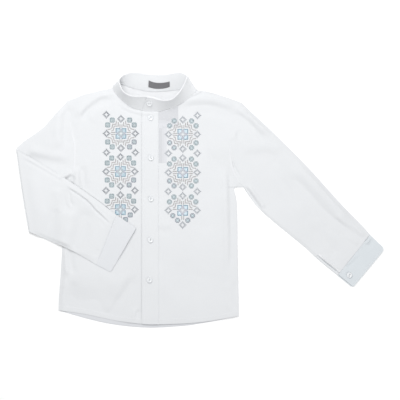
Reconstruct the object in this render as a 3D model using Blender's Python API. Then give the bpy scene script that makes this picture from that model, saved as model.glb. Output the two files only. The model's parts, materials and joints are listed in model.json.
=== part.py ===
"""A boy's white band-collar shirt, laid flat on its back with the front up.

The wearer's right sleeve is folded at the elbow across the front, the left one lies stretched out.
Frame: +Z up, the surface at Z = 0, +X to the wearer's left, +Y to the collar. The origin is on the
centre-front line, level with the armpits, on the underside of the back.
Every size below is in millimetres, and the meshes are made in metres.
"""
import math
from collections import namedtuple

import bmesh
import bpy
from mathutils import Vector

MM = 0.001

# Cloth
WALL = 1.1                # one panel of shirting, with the turnings it carries
BAND_WALL = 1.6           # interfaced double cloth: collar, placket and cuffs
LABEL_WALL = 1.0
SEAM_GAP = 0.3            # pieces stand this far apart where they are sewn or lie on each other
ARMHOLE_GAP = 0.9         # sideways step between a body panel and its sleeve

# How the flat shirt lies
CROWN = 1.6               # how far the front rises over the back, away from the side seams
ROLL = 14.0               # width over which it rises
SLEEVE_CROWN = 2.6        # the same in a sleeve
CUFF_CROWN = 0.6
FOREARM_BASE = 7.2        # underside of the folded forearm over the upper arm
CUFF_BASE = 5.9           # underside of the forearm and its cuff over the front
FOLD_CROWN = 1.2          # air left in the sleeve where it turns back at the elbow
FOLD_INNER = 0.5          # inner radius of that turn

# Placket and buttons
PLACKET_EDGE = -17.8      # its free edge, on the wearer's right of the centre line
PLACKET_SEAM = 17.2       # its sewn edge
BUTTON_RADIUS = 5.7       # 18-ligne shirt button
BUTTON_HEIGHT = 2.4
THREAD_HOLE_RADIUS = 0.8
THREAD_HOLE_OFFSET = 1.7
BUTTONS = [(0.1, 144.9), (1.0, 60.9), (1.0, -25.2), (0.1, -111.3), (-2.0, -195.3)]
CUFF_BUTTON = (417.7, -185.0)
COLLAR_BUTTON_RISE = 0.58   # share of the band's height
COLLAR_BUTTON_STATION = 0.28  # stations past the one named upper_centre
COLLAR_BUTTON_CLEAR = 0.5   # further room, since the band curves away under it

Fold = namedtuple("Fold", "start end half_width height")
Station = namedtuple("Station", "name seam rim tuck")

# Outlines in plan, (x, y). "Right" and "left" are the wearer's.
RIGHT_SIDE_SEAM = [(-193, -258.5), (-191.6, -225), (-189, -190), (-185.2, -126.8), (-182.8, -60),
                   (-181.2, -14)]
RIGHT_UNDERARM = [(-181.2, -14), (-180.6, -1)]
RIGHT_ARMHOLE = [(-180.6, -1), (-166.5, 14.7), (-160, 46.2), (-159, 84), (-164.9, 115.5),
                 (-170.5, 151.2), (-174.3, 180.3)]
RIGHT_SHOULDER = [(-174.3, 180.3), (-156.5, 187.2), (-139.7, 194), (-118, 199.2), (-104, 203.2),
                  (-92, 204.6)]
RIGHT_NECK_CORNER = (-79, 206.5)
LEFT_SIDE_SEAM = [(185.4, -270.5), (184.8, -220), (183.1, -140), (182.3, -60), (180.4, -27.3),
                  (176.6, -10.5)]
LEFT_UNDERARM = [(176.6, -10.5), (175.7, -3.2), (179.5, 0.3), (187, 0.6), (195.5, 0.2)]
LEFT_ARMHOLE = [(195.5, 0.2), (185.9, 12.6), (176, 27.3), (169, 50.4), (167, 77.7),
                (171.2, 109.2), (179.6, 140.7), (187.5, 162), (191.3, 177)]
LEFT_SHOULDER = [(112.4, 201), (150.2, 191.3), (175, 183), (191.3, 177)]
LEFT_NECK_CORNER = (99, 203)
BACK_HEM = [(-193, -258.5), (-125, -277.8), (-69.1, -289), (-1, -294.6), (68.3, -290.8),
            (104, -286), (150, -278), (185.4, -270.5)]
FRONT_HEM = [(-193, -258.5), (-135.7, -266.1), (-73.5, -278.9), (-17.8, -285.4), (12, -286),
             (60, -284.8), (104, -282), (150, -275.5), (185.4, -270.5)]
LEFT_SLEEVE_TOP = [(191.3, 177), (213, 156), (251.8, 119.7), (326.6, 45.2), (396.5, -32),
                   (446.4, -83.6), (461, -100.8)]
LEFT_SLEEVE_UNDER = [(195.5, 0.2), (230.4, -47.7), (308.1, -113.4), (327.2, -129.2),
                     (353.9, -154.2), (393.1, -185.9)]
RIGHT_ARM_TOP = [(-174.3, 180.3), (-206, 146.4), (-222.6, 127.1), (-242.6, 111.5), (-262.5, 98),
                 (-278.5, 84.5)]
RIGHT_ARM_UNDER = [(-180.6, -1), (-215, -42), (-249.2, -96.4)]
ELBOW_LINE = [(-254.6, -95.8), (-269.3, -7.7), (-283.2, 83)]
FOREARM_TOP = [(-276.6, 75.0), (-250.7, 61.5), (-211.5, 38), (-183.1, 20.8), (-150, -1),
               (-110, -29), (-71.4, -58.5)]
FOREARM_UNDER = [(-249.2, -96.4), (-231.9, -105.6), (-206.9, -116.8), (-184.8, -125.4),
                 (-149.7, -142.9), (-113.4, -163.4)]
LEFT_CUFF_END = [(425, -212.1), (492.2, -130.4)]
RIGHT_CUFF_END = [(-83.4, -178.7), (-29.8, -86.1)]
LEFT_CUFF_CORNER = 7.0    # radius of a cuff's far corners
RIGHT_CUFF_CORNER = 3.0

# The collar band, from the end that lies underneath, round the neck to the end on top. seam and rim
# are points of the middle of its wall, (x, y, z); tuck moves the lower end in behind the upper one.
COLLAR = [
    Station("under_end", (18.9, 158.6, 4.3), (21.0, 181.5, 28.8), 2.2),
    Station("under_centre", (0.0, 157.4, 4.3), (4.0, 186.6, 21.3), 2.2),
    Station("under_right", (-16.5, 159.6, 4.3), (-11.0, 187.8, 24.2), 2.2),
    Station("front_right", (-40.3, 167.4, 4.3), (-39.3, 189.8, 30.5), 0.4),
    Station("front_right_2", (-63.0, 186.1, 4.3), (-55.0, 198.2, 35.5), 0.0),
    Station("side_right", (-74.8, 201.0, 3.8), (-62.8, 212.1, 34.6), 0.0),
    Station("turn_right", (-78.2, 212.6, 2.8), (-64.9, 224.3, 32.6), 0.0),
    Station("back_right", (-61.1, 215.7, 1.6), (-56.7, 233.9, 30.0), 0.0),
    Station("back_right_2", (-46.2, 210.8, 1.0), (-42.0, 239.0, 20.3), 0.0),
    Station("back_right_3", (-31.1, 205.8, 0.8), (-24.2, 239.4, 4.5), 0.0),
    Station("back_middle", (-2.9, 200.5, 0.8), (-1.1, 236.0, 0.8), 0.0),
    Station("back_left", (25.2, 200.5, 0.8), (26.2, 235.4, 0.8), 0.0),
    Station("back_left_2", (49.6, 202.9, 0.8), (47.2, 238.6, 0.8), 0.0),
    Station("back_left_3", (72.5, 205.2, 0.8), (62.0, 240.0, 0.8), 0.0),
    Station("fold_under", (90.8, 204.8, 0.9), (72.6, 236.4, 1.0), 0.0),
    Station("fold_edge", (96.1, 203.2, 2.8), (77.0, 232.6, 4.2), 0.0),
    Station("fold_over", (94.0, 199.0, 4.6), (75.6, 227.4, 8.4), 0.0),
    Station("side_left", (89.2, 193.0, 4.5), (73.0, 219.6, 17.6), 0.0),
    Station("front_left", (83.0, 186.9, 4.3), (67.8, 209.0, 26.0), 0.0),
    Station("front_left_2", (62.8, 174.7, 4.3), (57.8, 194.0, 32.4), 0.0),
    Station("front_left_3", (40.1, 165.5, 4.3), (42.0, 181.9, 34.6), 0.0),
    Station("upper_left", (18.9, 158.6, 4.3), (21.0, 181.5, 28.8), 0.0),
    Station("upper_centre", (0.0, 157.4, 4.3), (4.0, 186.6, 21.3), 0.0),
    Station("upper_end", (-17.0, 159.7, 4.3), (-6.5, 187.6, 23.6), 0.0),
]
STATION_NUMBER = {station.name: number for number, station in enumerate(COLLAR)}
COLLAR_BULGE = 1.2        # outward bow of the band between its seam and its rim
NECK_EASE = 0.5           # further room between the band and the panels' neck edges
LABEL_STATIONS = (9.93, 11.66)
LABEL_RISE = (0.17, 0.55)   # its long edges at its middle, as shares of the band's height
LABEL_SAG = (0.08, 0.12)    # how much higher their ends lie

# Largest folds: soft ridges (height above 0) and troughs, each along a straight run of cloth.
BODY_FOLDS = [
    Fold((-80.8, 195), (-106, 197), 7, -1.2),
    Fold((-106, 197), (-143.8, 155.4), 9, -1.3),
    Fold((97.7, 182.7), (150.2, 176.4), 8, -1.3),
    Fold((150.2, 176.4), (184, 157.5), 8, -1.2),
    Fold((164.5, 31.5), (167.5, -132), 5, -1.5),
    Fold((149, 20), (152, -120), 10, 0.8),
    Fold((-175, -132), (-171, -178), 6, -1.4),
    Fold((-47.3, -205.8), (-80.9, -275), 10, -1.3),
    Fold((-62, -190), (-99, -262), 11, 0.8),
    Fold((167, -246), (167, -271), 7, -0.9),
    Fold((-148, 36), (-144, 2), 6, -1.4),
    Fold((-132, 60), (-130, 5), 8, 0.7),
    Fold((114, -90), (108, -180), 30, 0.9),
]
LEFT_SLEEVE_FOLDS = [
    Fold((190, 162), (214, 134), 4, -1.5),
    Fold((314, 14.7), (423, -90.3), 10, -1.7),
    Fold((330, 20), (430, -72), 9, 0.9),
    Fold((209, -6.3), (238, -46), 8, -1.5),
    Fold((250, 36), (330, -62), 16, 1.2),
    Fold((452.6, -96.6), (431.6, -75.6), 4, -1.2),
    Fold((442, -111.3), (420, -92.4), 4, -1.2),
]
RIGHT_ARM_FOLDS = [
    Fold((-180, 170), (-186, 84), 8, -1.5),
    Fold((-253, 63), (-175, 50.4), 8, -1.3),
    Fold((-226, 98), (-196, 80), 14, 0.9),
]
FOREARM_FOLDS = [
    Fold((-175.4, 6.3), (-116.6, -37.8), 4, 1.0),
    Fold((-116.6, -37.8), (-84, -78), 4, 1.0),
    Fold((-156.5, -52.5), (-160.7, -121.8), 10, -1.4),
    Fold((-194, -10.5), (-177.5, -37.8), 7, -1.2),
    Fold((-228, 30), (-212, -70), 16, 0.8),
]

# Grid spacing: rows for each stretch of a panel's side, columns for each stretch of its hem
BACK_ROWS = (11, 3, 12)
BACK_COLUMNS = (4, 7, 4)
BACK_HEM_SPLITS = (0.33, 0.74)        # shares of the hem below the two ends of the neck
FRONT_ROWS = (12, 3, 8, 7)
FRONT_COLUMNS = 12
ARMHOLE_SPLIT = 0.68                  # share of an armhole beside the neck's lower end
UNDERARM_LEVELS = (-12.0, -1.0)
PLACKET_ROWS, PLACKET_COLUMNS = 24, 4
SLEEVE_ROWS = 18
UPPER_ARM_ROWS, FOREARM_ROWS, ELBOW_STEP = 10, 14, 30
CUFF_ROWS = 5
CUFF_INNER_MARKS = (4.0, 8.0, 15.0)
SLEEVE_EDGE_MARKS = (0.0, 0.4, 1.0)   # shares of the edge's radius
SLEEVE_INNER_MARKS = (7.0, 15.0)      # distances from either edge
SLEEVE_COLUMNS = 6                    # between the last of these
COLLAR_COLUMNS = 3                    # between neighbouring stations
COLLAR_ROWS = 5

COLOURS = {
    "shirting": ((0.84, 0.85, 0.87), 0.85),
    "cuff_cloth": ((0.80, 0.83, 0.86), 0.85),
    "label_tape": ((0.42, 0.43, 0.45), 0.8),
    "pearl": ((0.90, 0.91, 0.92), 0.3),
}


# ------------------------------------------------------------------ lines and patches
def blend(start, end, share):
    return start + (end - start) * share


def smooth(share):
    """0 to 1 with level ends."""
    share = min(max(share, 0.0), 1.0)
    return share * share * (3 - 2 * share)


def on_spline(points, place):
    """The point at a place along a smooth curve: place 0 is the first point, 1 the second."""
    number = min(max(int(place), 0), len(points) - 2)
    share = place - number
    near, far = points[number], points[number + 1]
    before = points[number - 1] if number else near * 2 - far
    after = points[number + 2] if number + 2 < len(points) else far * 2 - near
    return 0.5 * (
        near * 2
        + (far - before) * share
        + (before * 2 - near * 5 + far * 4 - after) * share ** 2
        + (near * 3 - before - far * 3 + after) * share ** 3
    )


class Line:
    """A smooth line through a few points, read by its share of length."""

    STEPS = 10

    def __init__(self, points):
        points = [Vector(point) for point in points]
        count = (len(points) - 1) * self.STEPS
        self.points = [on_spline(points, step / self.STEPS) for step in range(count + 1)]
        self.reach = [0.0]
        for near, far in zip(self.points, self.points[1:]):
            self.reach.append(self.reach[-1] + (far - near).length)

    @property
    def length(self):
        return self.reach[-1]

    def at(self, share):
        wanted = min(max(share, 0.0), 1.0) * self.length
        for number, end in enumerate(self.reach[1:]):
            if wanted <= end or number == len(self.points) - 2:
                start = self.reach[number]
                return blend(self.points[number], self.points[number + 1],
                             (wanted - start) / (end - start))

    def part(self, start, end):
        """The stretch between two shares of its length."""
        piece = Line([self.at(start), self.at(end)])
        count = max(2, len(self.points))
        piece.points = [self.at(blend(start, end, step / count)) for step in range(count + 1)]
        piece.reach = [0.0]
        for near, far in zip(piece.points, piece.points[1:]):
            piece.reach.append(piece.reach[-1] + (far - near).length)
        return piece

    def distance(self, point):
        """How far a point in plan lies from the line."""
        return min(segment_distance(point, near, far)[0]
                   for near, far in zip(self.points, self.points[1:]))


def segment_distance(point, start, end):
    """The distance to a straight run, and the share of the run nearest to the point."""
    run = end - start
    share = min(max((point - start).dot(run) / run.length_squared, 0.0), 1.0)
    return (point - start - run * share).length, share


class Side:
    """A side of a patch: lines end to end, each one unit long in the patch's own numbers."""

    def __init__(self, *lines):
        self.lines = lines
        self.length = sum(line.length for line in lines)

    def split(self, place):
        number = min(int(place), len(self.lines) - 1)
        return number, place - number

    def at(self, place):
        number, share = self.split(place)
        return self.lines[number].at(share)

    def share(self, place):
        """The share of the whole side's length that lies before a place."""
        number, share = self.split(place)
        before = sum(line.length for line in self.lines[:number])
        return (before + share * self.lines[number].length) / self.length


class Patch:
    """The plan of a panel, filled in between its four sides (a Coons patch)."""

    def __init__(self, start, end, low, high):
        self.start, self.end, self.low, self.high = start, end, low, high

    def at(self, across, along):
        """across runs from the start side to the end side, along from the low to the high one."""
        a = 0.5 * (self.low.share(across) + self.high.share(across))
        b = 0.5 * (self.start.share(along) + self.end.share(along))
        low, high = self.low.at(across), self.high.at(across)
        start, end = self.start.at(along), self.end.at(along)
        last = len(self.low.lines)
        corners = blend(blend(self.low.at(0), self.low.at(last), a),
                        blend(self.high.at(0), self.high.at(last), a), b)
        return blend(low, high, b) + blend(start, end, a) - corners


def spaced(*counts):
    """Evenly spaced numbers through units 0 to 1, 1 to 2 and so on, with a count for each unit."""
    numbers = [unit + step / count for unit, count in enumerate(counts) for step in range(count)]
    return numbers + [float(len(counts))]


# ------------------------------------------------------------------ how the cloth lies
def fold_height(folds, point):
    """What the folds add at a point in plan; each one fades out at its ends."""
    total = 0.0
    for fold in folds:
        away, share = segment_distance(point, Vector(fold.start), Vector(fold.end))
        fade = smooth(min(share, 1 - share) * 5 + 0.25)
        total += fold.height * fade * math.exp(-(away / fold.half_width) ** 2)
    return total


def front_under(point):
    """Height of the underside of the front panels, which lie on the back."""
    rise = smooth(min(line.distance(point) for line in FRONT_EDGES) / ROLL)
    lying = WALL + SEAM_GAP
    return max(lying, lying + rise * (CROWN + fold_height(BODY_FOLDS, point)))


def placket_under(point):
    """The placket follows the fronts, on top of them."""
    return front_under(point) + WALL + SEAM_GAP


# ------------------------------------------------------------------ solids
def make_object(name, material, bm):
    bmesh.ops.recalc_face_normals(bm, faces=bm.faces)
    for face in bm.faces:
        face.smooth = True
    mesh = bpy.data.meshes.new(name)
    bm.to_mesh(mesh)
    bm.free()
    mesh.set_sharp_from_angle(angle=math.radians(50))
    mesh.materials.append(bpy.data.materials[material])
    obj = bpy.data.objects.new(name, mesh)
    bpy.context.scene.collection.objects.link(obj)
    return obj


def add_grid(bm, rows, loop):
    """Faces between rows of points; a loop also joins each row's last point to its first."""
    verts = [[bm.verts.new(point * MM) for point in row] for row in rows]
    count = len(rows[0])
    for near, far in zip(verts, verts[1:]):
        for number in range(count if loop else count - 1):
            after = (number + 1) % count
            bm.faces.new((near[number], near[after], far[after], far[number]))
    return verts


def slab(name, material, tops, bottoms):
    """A sheet of cloth from the grids of its upper and lower faces."""
    bm = bmesh.new()
    loops = [top + bottom[::-1] for top, bottom in zip(tops, bottoms)]
    verts = add_grid(bm, loops, loop=True)
    columns = len(tops[0])
    for end in (verts[0], verts[-1]):
        for number in range(columns - 1):
            below = 2 * columns - 1 - number
            bm.faces.new((end[number], end[number + 1], end[below - 1], end[below]))
    return make_object(name, material, bm)


def tube(name, material, outers, inners):
    """A flattened tube of cloth with open ends, from its outer and inner loops."""
    bm = bmesh.new()
    outside = add_grid(bm, outers, loop=True)
    inside = add_grid(bm, inners, loop=True)
    count = len(outers[0])
    for end in (0, -1):
        for number in range(count):
            after = (number + 1) % count
            bm.faces.new((outside[end][number], outside[end][after],
                          inside[end][after], inside[end][number]))
    return make_object(name, material, bm)


def panel(name, patch, rows, columns, under, wall=WALL):
    """A panel of the body, laid over the height that under gives."""
    tops, bottoms = [], []
    for along in rows:
        plan = [patch.at(across, along) for across in columns]
        low = [Vector((point.x, point.y, under(point))) for point in plan]
        bottoms.append(low)
        tops.append([point + Vector((0, 0, wall)) for point in low])
    return slab(name, "shirting", tops, bottoms)


# ------------------------------------------------------------------ sleeves and cuffs
class Section:
    """One flat ring of a sleeve or cuff: how its lower and upper faces lie, edge to edge."""

    def __init__(self, plan, middle, wall, hang=0.0, crown=0.0, folds=(),
                 inner_marks=SLEEVE_INNER_MARKS):
        """plan gives the point at a share of the width; middle is the height of both edges."""
        self.plan, self.middle, self.wall = plan, middle, wall
        self.hang, self.crown, self.folds = hang, crown, folds
        self.inner_marks = inner_marks
        self.width = (plan(1.0) - plan(0.0)).length
        self.radius = wall + SEAM_GAP / 2

    def marks(self, edge_start):
        """Distances from the first edge; the edge itself starts at edge_start."""
        near = [blend(edge_start, self.radius, share) for share in SLEEVE_EDGE_MARKS]
        near += list(self.inner_marks)
        between = self.width - 2 * near[-1]
        middle = [near[-1] + between * step / SLEEVE_COLUMNS for step in range(1, SLEEVE_COLUMNS)]
        return near + middle + [self.width - mark for mark in reversed(near)]

    def loop(self, radius):
        """Points (share of width, height) round the ring, at that radius of its rolled edge."""
        marks = self.marks(self.radius - radius)
        upper, lower = [], []
        for mark in marks:
            inset = min(mark, self.width - mark)
            shortfall = max(self.radius - inset, 0.0)
            edge = math.sqrt(max(radius ** 2 - shortfall ** 2, 0.0))
            point = self.plan(mark / self.width)
            roll = smooth(inset / ROLL)
            lift = roll * max(self.crown + fold_height(self.folds, point), 0.0)
            upper.append((mark / self.width, self.middle + edge + lift))
            lower.append((mark / self.width, self.middle - edge - roll * self.hang))
        return upper + lower[-2:0:-1]

    def rings(self, place):
        """The outer and inner loops, placed by a function of the share of width and height."""
        outer, inner = self.loop(self.radius), self.loop(self.radius - self.wall)
        return [place(*point) for point in outer], [place(*point) for point in inner]

    def laid(self):
        def place(share, height):
            point = self.plan(share)
            return Vector((point.x, point.y, height))
        return self.rings(place)


def across_patch(patch, along):
    return lambda share: patch.at(share, along)


def joined(points, first, last=None):
    """A line through the points, with its ends moved to those given."""
    points = [Vector(point) for point in points]
    points[0] = first
    if last is not None:
        points[-1] = last
    return Line(points)


def straight_sleeve():
    """The stretched sleeve, from its armhole to its cuff seam."""
    armhole = Line([(x + ARMHOLE_GAP, y) for x, y in LEFT_ARMHOLE])
    under = joined(LEFT_SLEEVE_UNDER, first=armhole.at(0))
    top = joined(LEFT_SLEEVE_TOP, first=armhole.at(1))
    wrist = Line([under.at(1), top.at(1)])
    patch = Patch(Side(under), Side(top), Side(armhole), Side(wrist))
    rings = []
    for along in spaced(SLEEVE_ROWS):
        crown = blend(CROWN, SLEEVE_CROWN, smooth(along * 4)) * blend(1, 0.6, smooth(along * 3 - 2))
        section = Section(across_patch(patch, along), WALL + SEAM_GAP / 2, WALL,
                          crown=crown, folds=LEFT_SLEEVE_FOLDS)
        rings.append(section.laid())
    return tube("sleeve_left", "shirting", *zip(*rings))


def folded_sleeve():
    """The sleeve turned back at the elbow: upper arm, the turn, then the forearm above it."""
    radius = WALL + SEAM_GAP / 2
    axis_height = 2 * radius + FOLD_CROWN + FOLD_INNER
    low, high = Vector(ELBOW_LINE[0]), Vector(ELBOW_LINE[-1])
    run = (high - low).normalized()
    outward = Vector((-run.y, run.x))
    inset = outward * -axis_height
    elbow = Line([Vector(point) + inset for point in ELBOW_LINE])
    elbow_back = Line([elbow.at(0), elbow.at(0.5), FOREARM_TOP[0]])
    armhole = Line([(x - ARMHOLE_GAP, y) for x, y in RIGHT_ARMHOLE])
    upper_arm = Patch(
        Side(joined(RIGHT_ARM_UNDER, first=armhole.at(0), last=elbow.at(0))),
        Side(joined(RIGHT_ARM_TOP, first=armhole.at(1), last=elbow.at(1))),
        Side(armhole), Side(elbow))
    wrist = Line([FOREARM_UNDER[-1], FOREARM_TOP[-1]])
    forearm = Patch(
        Side(joined(FOREARM_UNDER, first=elbow_back.at(0))), Side(Line(FOREARM_TOP)),
        Side(elbow_back), Side(wrist))

    rings = []
    for along in spaced(UPPER_ARM_ROWS):
        crown = blend(CROWN, SLEEVE_CROWN, smooth(along * 4))
        crown = blend(crown, FOLD_CROWN, smooth(along * 4 - 3))
        section = Section(across_patch(upper_arm, along), radius, WALL,
                          crown=crown, folds=RIGHT_ARM_FOLDS if along < 1 else ())
        rings.append(section.laid())

    for degrees in range(ELBOW_STEP, 180, ELBOW_STEP):
        turn = math.radians(degrees)

        def turned(share, height, turn=turn):
            reach = axis_height - height
            point = blend(elbow.at(share), elbow_back.at(share), turn / math.pi)
            point += outward * (reach * math.sin(turn))
            return Vector((point.x, point.y, axis_height - reach * math.cos(turn)))

        rings.append(Section(elbow.at, radius, WALL, crown=FOLD_CROWN).rings(turned))

    fold_middle = 2 * axis_height - radius
    for along in spaced(FOREARM_ROWS):
        settle = smooth(along * 5)
        base = blend(FOREARM_BASE, CUFF_BASE, smooth((along - 0.45) / 0.35))
        section = Section(
            across_patch(forearm, along), blend(fold_middle, base + radius, settle), WALL,
            hang=FOLD_CROWN * (1 - settle),
            crown=SLEEVE_CROWN * settle * blend(1, 0.5, smooth(along * 3 - 2)),
            folds=FOREARM_FOLDS if along > 0 else ())
        upper, inner = section.laid()
        # The turn brought the underside to the top, so a forearm ring starts from its lower face.
        rings.append((turned_over(upper), turned_over(inner)))
    return tube("sleeve_right", "shirting", *zip(*rings))


def turned_over(loop):
    """The same loop, read with its upper and lower faces changed over."""
    half = len(loop) // 2
    upper, lower = loop[:half + 1], loop[half + 1:]
    return [upper[0]] + lower[::-1] + [upper[-1]] + upper[-2:0:-1]


def cuff(name, seam, end, base, corner):
    """A cuff: a short flat band with rounded far corners."""
    near, far = [Vector(point) for point in seam], [Vector(point) for point in end]
    step_off = (far[0] - near[0]).normalized() * (SEAM_GAP * 1.5)
    near = [point + step_off for point in near]
    depths = [(far[side] - near[side]).normalized() for side in (0, 1)]
    width = (far[1] - far[0]).normalized()

    def corner_points(side):
        along = width if side == 0 else -width
        return [far[side] + along * corner * (1 - math.cos(turn))
                - depths[side] * corner * (1 - math.sin(turn))
                for turn in (math.pi / 8 * step for step in range(5))]

    start, finish = corner_points(0), corner_points(1)[::-1]
    straight = [start[-1] + width * corner, (far[0] + far[1]) / 2, finish[0] - width * corner]
    rounded = Line(start + straight + finish)
    patch = Patch(Side(Line([near[0], rounded.at(0)])), Side(Line([near[1], rounded.at(1)])),
                  Side(Line(near)), Side(rounded))
    rings = [Section(across_patch(patch, along), base + BAND_WALL + SEAM_GAP / 2, BAND_WALL,
                     crown=CUFF_CROWN, inner_marks=CUFF_INNER_MARKS).laid()
             for along in spaced(CUFF_ROWS)]
    return tube(name, "cuff_cloth", *zip(*rings))


# ------------------------------------------------------------------ collar and label
def collar_line(part):
    return [Vector(getattr(station, part)) for station in COLLAR]


def collar_middle(place, rise):
    """A point of the middle of the band's wall, before any tuck: rise 0 is the seam, 1 the rim."""
    return blend(on_spline(collar_line("seam"), place), on_spline(collar_line("rim"), place), rise)


def collar_normal(place, rise):
    """The unit normal out of the band's inner face."""
    step = 0.05
    ahead = collar_middle(place + step, rise) - collar_middle(place - step, rise)
    up = collar_middle(place, 1.0) - collar_middle(place, 0.0)
    return ahead.cross(up).normalized()


def collar_point(place, rise, inward):
    """A point at a height of inward over the middle of the wall, on its inner side."""
    number = min(int(place), len(COLLAR) - 2)
    tuck = blend(COLLAR[number].tuck, COLLAR[number + 1].tuck, smooth(place - number))
    stand = smooth(collar_middle(place, 1.0).z / 20)
    bulge = COLLAR_BULGE * stand * 4 * rise * (1 - rise)
    point = collar_middle(place, rise) + collar_normal(place, rise) * (inward + tuck - bulge)
    point.z = max(point.z, 0.0)
    return point


def neck_edge(start, end, side):
    """The collar's seam line in plan from one place to another, moved to the body panel's side."""
    points = []
    count = max(2, round(abs(end - start) * 4))
    for step in range(count + 1):
        place = blend(start, end, step / count)
        ahead = collar_middle(place + 0.05, 0).xy - collar_middle(place - 0.05, 0).xy
        outward = Vector((-ahead.y, ahead.x)).normalized()
        standing = smooth(collar_middle(place, 1.0).z / 12)
        gap = SEAM_GAP + BAND_WALL / 2 * standing + NECK_EASE
        points.append(collar_middle(place, 0).xy + outward * gap * side)
    return Line(points)


def collar():
    last = len(COLLAR) - 1
    places = [step / COLLAR_COLUMNS for step in range(last * COLLAR_COLUMNS + 1)]
    rises = [step / COLLAR_ROWS for step in range(COLLAR_ROWS + 1)]
    inner = [[collar_point(place, rise, BAND_WALL / 2) for rise in rises] for place in places]
    outer = [[collar_point(place, rise, -BAND_WALL / 2) for rise in rises] for place in places]
    return slab("collar", "shirting", inner, outer)


def label():
    """The label lies on the inner face of the back of the collar."""
    lying = BAND_WALL / 2 + SEAM_GAP
    low, high = [], []
    for share in (step / 8 for step in range(9)):
        place = blend(*LABEL_STATIONS, share)
        sag = (2 * share - 1) ** 2
        edges = [rise + lift * sag for rise, lift in zip(LABEL_RISE, LABEL_SAG)]
        rises = [blend(*edges, step / 3) for step in range(4)]
        low.append([collar_point(place, rise, lying) for rise in rises])
        high.append([collar_point(place, rise, lying + LABEL_WALL) for rise in rises])
    return slab("label", "label_tape", high, low)


# ------------------------------------------------------------------ buttons
def button_mesh():
    """A turned disc with a raised rim and a shallow dish, and two thread holes through it."""
    profile = [(0.0, 0.0), (0.72, 0.0), (0.96, 0.3), (1.0, 0.62), (0.9, 1.0), (0.72, 0.96),
               (0.55, 0.66), (0.0, 0.62)]
    bm = bmesh.new()
    verts = [bm.verts.new((share * BUTTON_RADIUS * MM, 0, rise * BUTTON_HEIGHT * MM))
             for share, rise in profile]
    edges = [bm.edges.new(pair) for pair in zip(verts, verts[1:])]
    bmesh.ops.spin(bm, geom=verts + edges, axis=(0, 0, 1), cent=(0, 0, 0),
                   angle=math.tau, steps=16, use_merge=True)
    bmesh.ops.remove_doubles(bm, verts=bm.verts, dist=0.00001)
    disc = make_object("button_disc", "pearl", bm)

    bm = bmesh.new()
    for side in (-1, 1):
        made = bmesh.ops.create_cone(bm, cap_ends=True, segments=8,
                                     radius1=THREAD_HOLE_RADIUS * MM,
                                     radius2=THREAD_HOLE_RADIUS * MM,
                                     depth=4 * BUTTON_HEIGHT * MM)
        bmesh.ops.translate(bm, verts=made["verts"],
                            vec=(side * THREAD_HOLE_OFFSET * MM, 0, 0))
    holes = make_object("button_holes", "pearl", bm)

    cut = disc.modifiers.new("thread_holes", "BOOLEAN")
    cut.operation = "DIFFERENCE"
    cut.object = holes
    graph = bpy.context.evaluated_depsgraph_get()
    mesh = bpy.data.meshes.new_from_object(disc.evaluated_get(graph))
    mesh.name = "button"
    bpy.data.objects.remove(disc)
    bpy.data.objects.remove(holes)
    return mesh


def button(name, mesh, seat, outward):
    """A button that stands just off its seat, facing outward."""
    obj = bpy.data.objects.new(name, mesh)
    obj.location = (seat + outward * SEAM_GAP) * MM
    obj.rotation_euler = outward.to_track_quat("Z", "Y").to_euler()
    bpy.context.scene.collection.objects.link(obj)
    return obj


def highest_under(point, height, radius):
    """The highest point of a surface under a button's disc."""
    around = [Vector((0, 0))]
    around += [Vector((math.cos(turn), math.sin(turn))) * radius
               for turn in (step * math.tau / 8 for step in range(8))]
    return max(height(point + offset) for offset in around)


# ------------------------------------------------------------------ the shirt
def clear_scene():
    for obj in list(bpy.data.objects):
        bpy.data.objects.remove(obj)


def make_materials():
    for name, (colour, roughness) in COLOURS.items():
        material = bpy.data.materials.new(name)
        material.use_nodes = True
        shader = material.node_tree.nodes["Principled BSDF"]
        shader.inputs["Base Color"].default_value = (*colour, 1)
        shader.inputs["Roughness"].default_value = roughness
        shader.inputs["Metallic"].default_value = 0


def centre_side(hem_point, neck):
    """The edge of a front panel along the closure, in the same stretches as its outer side."""
    x = neck.at(0).x
    low, high = UNDERARM_LEVELS
    return Side(Line([hem_point, (x, low)]), Line([(x, low), (x, high)]),
                Line([(x, high), neck.at(0)]), neck)


def outer_side(side_seam, underarm, armhole):
    armhole = Line(armhole)
    return Side(Line(side_seam), Line(underarm),
                armhole.part(0, ARMHOLE_SPLIT), armhole.part(ARMHOLE_SPLIT, 1))


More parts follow.
